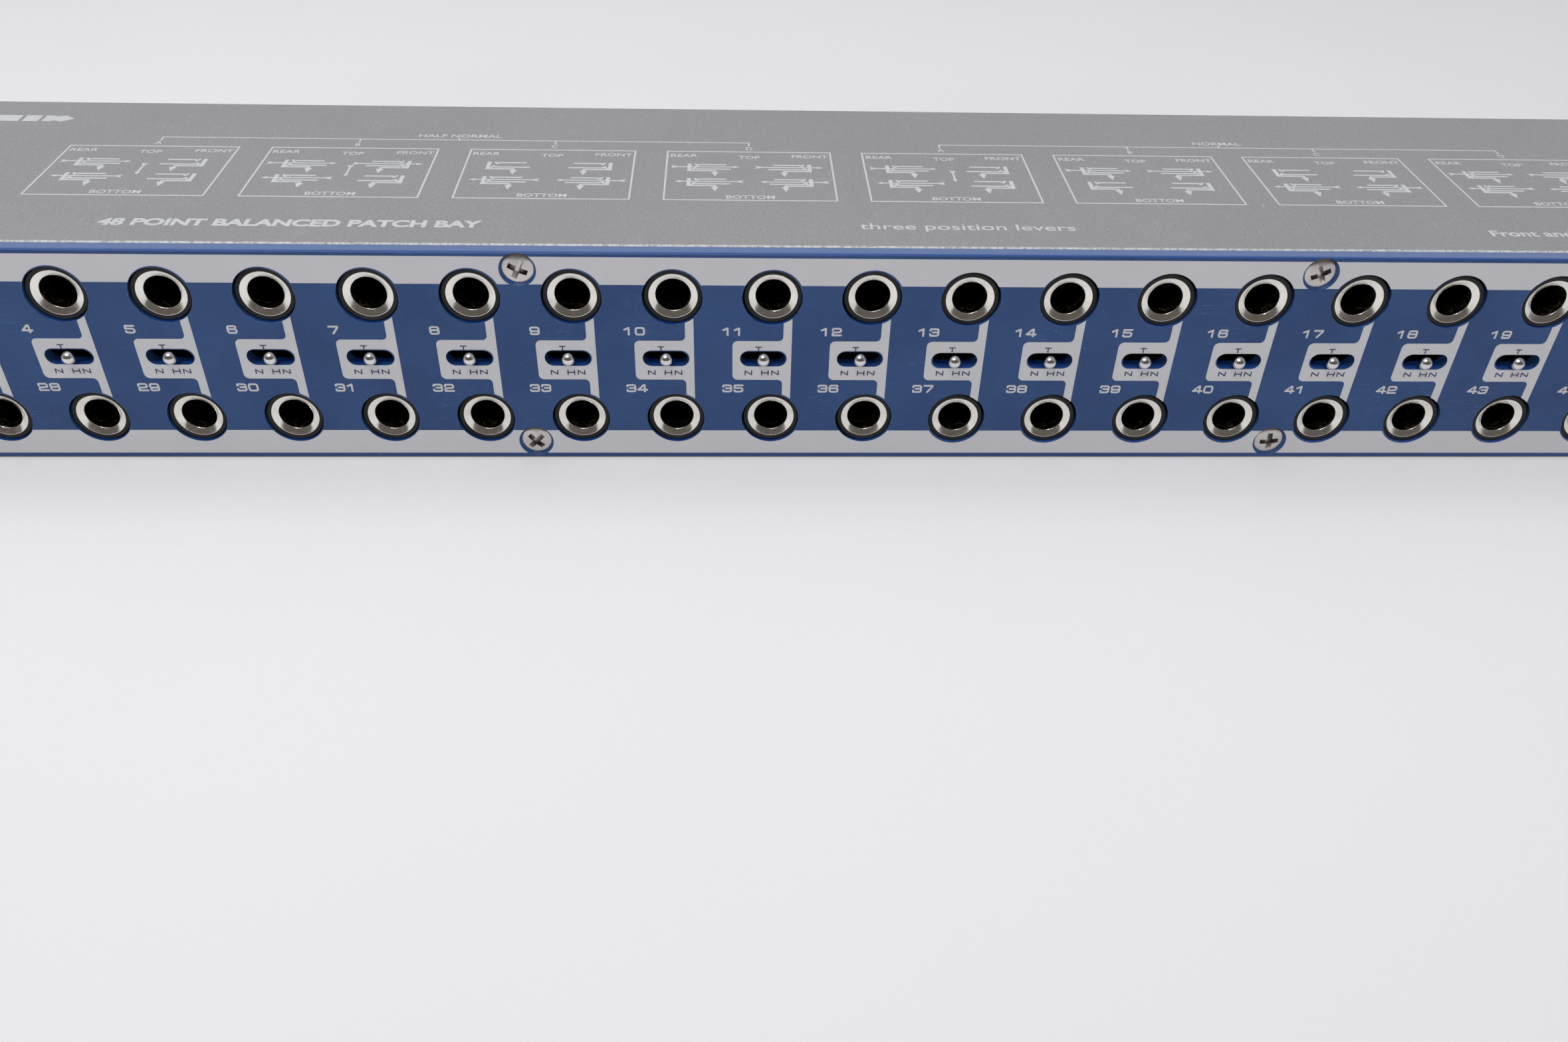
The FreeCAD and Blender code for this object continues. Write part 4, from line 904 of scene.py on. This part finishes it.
def plug_pictogram():
    """A three-conductor plug lying across the corner of the cover."""
    x, y = -196.0, 57.5
    handle = rounded([(x - 13, y - 3, 1.2), (x + 3, y - 3, 1.2), (x + 3, y + 3, 1.2),
                      (x - 13, y + 3, 1.2)])
    sleeve = bar(x + 3.8, y - 1.6, x + 13, y + 1.6)
    ring = bar(x + 13.8, y - 1.6, x + 17, y + 1.6)
    tip = [(x + 17.8, y - 1.6), (x + 19.2, y - 1.6), (x + 20.2, y - 1.1), (x + 21.8, y - 1.7),
           (x + 24, y), (x + 21.8, y + 1.7), (x + 20.2, y + 1.1), (x + 19.2, y + 1.6),
           (x + 17.8, y + 1.6)]
    return [handle, sleeve, ring, tip]


def cover_print():
    shape = bmesh.new()
    add_slab(shape, region(cover_lines() + plug_pictogram()), TOP_PLANE, INK_LOW, INK_HIGH)
    for text, x, y, high, stretch, bold in cover_words():
        flat = lettering(text, high, stretch, bold)
        add_slab(shape, moved(flat, x, y), TOP_PLANE, INK_LOW, INK_HIGH)
    return shape


REAR_NUMBER = 8.2           # from a row of sockets to its numbers on the back


def rear_print():
    """The sockets' numbers on the back, between the rows."""
    shape = bmesh.new()
    for n in COLUMNS:
        x = -column_x(n)
        for offset, level in ((0, ROW_HIGH - REAR_NUMBER), (24, ROW_LOW + REAR_NUMBER)):
            flat = drawn(str(n + offset), wide=2.1, high=2.3, line=0.45, gap=0.35, corner=0.4)
            add_slab(shape, moved(flat, x, level), REAR_PLANE, INK_LOW, INK_HIGH)
    return shape


# ---- sockets ----

FERRULE_LONG = 8.5
FERRULE_LIP = 0.62          # depth where the polished cone ends and the bore's painted shade starts


def ferrule_outline():
    """Half section of a ferrule: rolled rim, polished cone, rounded lip, straight bore."""
    return rounded([
        (0.0, 4.36, 0.05), (0.0, 4.5, 0.10), (1.2, 4.5, 0.05), (1.2, 3.88, 0.05),
        (FERRULE_LONG, 3.88, 0.08), (FERRULE_LONG, 3.2, 0.08), (0.55, 3.2, 0.16),
    ], steps=3)


def ferrules(jacks, front):
    shape = bmesh.new()
    for centre, low, high in jacks:
        face = low.y if front else high.y
        turned(shape, ferrule_outline(), inward(centre, face))
    return shape


# ---- screws ----

CROSS_STEP, CROSS_START = 40, 5      # degrees from one screw's cross to the next, and the first's
CROSS_WIDE, CROSS_REACH = 1.0, 3.7
CROSS_LEVELS = ((-0.6, 1.12), (1.3, 0.62))     # depth from the head's face, and size there


def cross_cutter():
    """A tapered cross, wider above the head's face than at its bottom."""
    shape = bmesh.new()
    for across, along in ((CROSS_WIDE, CROSS_REACH), (CROSS_REACH, CROSS_WIDE)):
        corners = []
        for depth, scale in CROSS_LEVELS:
            for sx, sy in ((-1, -1), (1, -1), (1, 1), (-1, 1)):
                point = Vector((sx * across / 2 * scale, sy * along / 2 * scale, depth))
                corners.append(shape.verts.new(point * MM))
        quads = [(0, 1, 2, 3), (7, 6, 5, 4), (0, 4, 5, 1), (1, 5, 6, 2), (2, 6, 7, 3), (3, 7, 4, 0)]
        for quad in quads:
            shape.faces.new([corners[k] for k in quad])
    bmesh.ops.recalc_face_normals(shape, faces=shape.faces)
    mesh = bpy.data.meshes.new("cutter")
    shape.to_mesh(mesh)
    shape.free()
    return mesh


def drilled(shape, cutter):
    """The shape with the cutter's mesh taken out of it."""
    bmesh.ops.recalc_face_normals(shape, faces=shape.faces)
    mesh = bpy.data.meshes.new("blank")
    shape.to_mesh(mesh)
    shape.free()
    blank = bpy.data.objects.new("blank", mesh)
    tool = bpy.data.objects.new("tool", cutter)
    for item in (blank, tool):
        bpy.context.scene.collection.objects.link(item)
    cut = blank.modifiers.new("cut", "BOOLEAN")
    cut.operation = "DIFFERENCE"
    cut.solver = "EXACT"
    cut.use_self = True
    cut.object = tool
    ready = blank.evaluated_get(bpy.context.evaluated_depsgraph_get())
    result = bpy.data.meshes.new_from_object(ready)
    for item in (blank, tool):
        bpy.data.objects.remove(item)
    return result


def screw_mesh(outline):
    """One screw with its face at the origin and its shank along +Z, in metres."""
    shape = bmesh.new()
    turned(shape, outline, Matrix.Identity(4))
    return drilled(shape, cross_cutter())


def countersunk_outline(length):
    """An oval-topped countersunk head on a straight shank."""
    dome = [(0.44 * (k / 8) ** 2 - 0.32, 2.75 * k / 8) for k in range(1, 9)]
    return [Vector(point) for point in (
        (-0.32, 0), *dome, (0.22, 2.92), (0.34, 2.97), (0.46, 2.96), (1.9, 1.48),
        (length - 0.3, 1.48), (length, 1.1), (length, 0))]


def pan_outline(length):
    """A pan head with a domed top and rounded shoulder, on a straight shank."""
    dome = [(0.22 * (k / 5) ** 2, 1.9 * k / 5) for k in range(1, 6)]
    return [Vector(point) for point in (
        (0, 0), *dome, (0.42, 2.3), (0.75, 2.56), (1.1, 2.68), (1.6, 2.7), (1.6, 1.48),
        (length - 0.3, 1.48), (length, 1.1), (length, 0))]


def add_screws(name, node, outline, direction):
    """Screws in place of a CAD node's, each with its cross turned its own way; direction gives
    the frame at a screw's face from its middle, lowest and highest corners."""
    master = screw_mesh(outline)
    shape = bmesh.new()
    for index, (centre, low, high) in enumerate(solids(node)):
        place = direction(centre, low, high)
        turn = Matrix.Rotation(math.radians(CROSS_STEP * index + CROSS_START), 4, "Z")
        copy = bmesh.new()
        copy.from_mesh(master)
        copy.transform(Matrix.Scale(1 / MM, 4))
        copy.transform(place @ turn)
        copy.transform(Matrix.Scale(MM, 4))
        spare = bpy.data.meshes.new("spare")
        copy.to_mesh(spare)
        copy.free()
        shape.from_mesh(spare)
        bpy.data.meshes.remove(spare)
    bpy.data.meshes.remove(master)
    return add_piece(name, shape, NICKEL_SCREW, instead_of=[node], smooth=28)


def sideways(centre, low, high):
    """A frame at the face of a screw in a side wall."""
    ahead = 1 if centre.x < 0 else -1
    face = low.x if centre.x < 0 else high.x
    return (Matrix.Translation((face, centre.y, centre.z))
            @ Matrix.Rotation(math.pi / 2 * ahead, 4, "Y"))


# ---- levers ----

BALL = 1.28                 # radius of a lever's end


def lever_outline(reach, ball, neck, root, boss, tail):
    """Half section of a lever: a polished ball, a waist, a tapered shank, boss and tail. The
    boss is at the pivot, reach from the ball's middle, and the tail goes on past it."""
    start = math.asin(neck / ball)
    points = []
    steps = 22
    for k in range(steps + 1):
        turn = (math.pi - start) * k / steps
        points.append((-ball * math.cos(turn), ball * math.sin(turn)))
    join = points[-1][0]
    points += [(join + 0.12, neck * 0.97), (join + 0.5, neck), (reach - 1.9, root)]
    for k in range(9):
        turn = math.radians(150 - 120 * k / 8)
        points.append((reach + boss * math.cos(turn), boss * math.sin(turn)))
    points += [(reach + tail - 0.5, neck), (reach + tail + 0.25, neck * 0.9),
               (reach + tail + 0.72, 0)]
    return [Vector(point) for point in points]


def make_levers(material):
    for n in COLUMNS:
        low, high = LEVERS[n]
        centre = (low + high) / 2
        outline = lever_outline(reach=11.25, ball=BALL, neck=0.72, root=0.95, boss=1.7, tail=3.6)
        place = Matrix.Translation((centre.x, low.y + BALL, centre.z)) @ Matrix.Rotation(
            -math.pi / 2, 4, "X")
        shape = bmesh.new()
        turned(shape, outline, place)
        add_piece(f"lever_bat_{n:02d}", shape, material, f"lever_{n:02d}",
                  [f"toggle_lever_{n:02d}"], smooth=50)


# ---- all of it ----

make_camera()
make_room()

BLUE = panel_paint()
COVER = cover_paint()
CHASSIS = chassis_paint()
BLACK = black_plastic()
BOARD = circuit_board()
BRONZE = spring_bronze()
PINS = tinned_pins()
STEEL = zinc_steel()
RAIL = mill_aluminium()
BORE_DEPTHS = (FRONT_JACKS[0][1].y + FERRULE_LIP, REAR_JACKS[0][2].y - FERRULE_LIP)
NICKEL = bright_nickel("ferrule_bright_nickel", (0.86, 0.83, 0.77), 0.11, (0.60, 0.54, 0.45),
                       BORE_DEPTHS)
NICKEL_LEVER = bright_nickel("lever_polished_nickel", (0.74, 0.725, 0.72), 0.10,
                             (0.50, 0.48, 0.47))
NICKEL_SCREW = bright_nickel("screw_nickel_plate", (0.60, 0.57, 0.555), 0.18, (0.32, 0.27, 0.25))
SILVER_INK = ink("panel_silver_ink", (0.440, 0.440, 0.465), (0.405, 0.405, 0.430))
BLUE_INK = ink("panel_blue_ink", (0.012, 0.017, 0.060), (0.022, 0.028, 0.080))
COVER_INK = ink("cover_pale_ink", (0.560, 0.575, 0.595), (0.470, 0.480, 0.500), 0.5)

CAD_FINISHES = {
    "front_panel": BLUE, "top_cover": COVER, "rear_panel": CHASSIS, "chassis_tray": CHASSIS,
    "board_rail": RAIL, "front_jack_housings": BLACK, "rear_jack_housings": BLACK,
    "board_link_strips": BLACK, "switch_board_headers": BLACK, "toggle_housings": BLACK,
    "board_link_pins": PINS, "switch_board_pins": PINS, "toggle_terminals": PINS,
    "toggle_frames": STEEL, "toggle_pivot_pins": STEEL, "rail_end_screws": NICKEL_SCREW,
    "board_screws": NICKEL_SCREW, "jack_tip_springs": BRONZE, "jack_ring_springs": BRONZE,
    "jack_sleeve_springs": BRONZE, "front_switching_contacts": BRONZE,
}
for name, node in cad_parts.items():
    if name.startswith("toggle_lever"):
        finish = NICKEL_LEVER
    elif "board_left" in name or "board_right" in name:
        finish = BOARD
    elif "ferrules" in name:
        finish = NICKEL
    else:
        finish = CAD_FINISHES.get(name, NICKEL_SCREW)
    for spot in node.material_slots:
        spot.material = finish

add_piece("panel_silver_print", front_silver(), SILVER_INK)
add_piece("panel_lever_labels", front_labels(), BLUE_INK)
add_piece("cover_link_drawings", cover_print(), COVER_INK)
add_piece("rear_socket_numbers", rear_print(), COVER_INK)
add_piece("front_socket_rings", ferrules(FRONT_JACKS, True), NICKEL,
          instead_of=["front_jack_ferrules"])
add_piece("rear_socket_rings", ferrules(REAR_JACKS, False), NICKEL,
          instead_of=["rear_jack_ferrules"])
add_screws("front_oval_screws", "front_panel_screws", countersunk_outline(8.0),
           lambda centre, low, high: inward(centre, low.y))
add_screws("rear_pan_screws", "rear_panel_screws", pan_outline(5.8),
           lambda centre, low, high: inward(centre, high.y))
add_screws("side_pan_screws", "cover_side_screws", pan_outline(5.1), sideways)
make_levers(NICKEL_LEVER)


FLOOR_REACH, FLOOR_CELLS = 12.0, 12    # metres from the middle to an edge, and cells along it


def make_floor():
    shape = bmesh.new()
    bmesh.ops.create_grid(shape, x_segments=FLOOR_CELLS, y_segments=FLOOR_CELLS, size=FLOOR_REACH,
                          matrix=Matrix.Translation((0, 0, CAD_BOX[0].z)))
    mesh = bpy.data.meshes.new("floor")
    shape.to_mesh(mesh)
    shape.free()
    mesh.materials.append(floor_paper())
    floor = bpy.data.objects.new("floor", mesh)
    bpy.context.scene.collection.objects.link(floor)


make_floor()
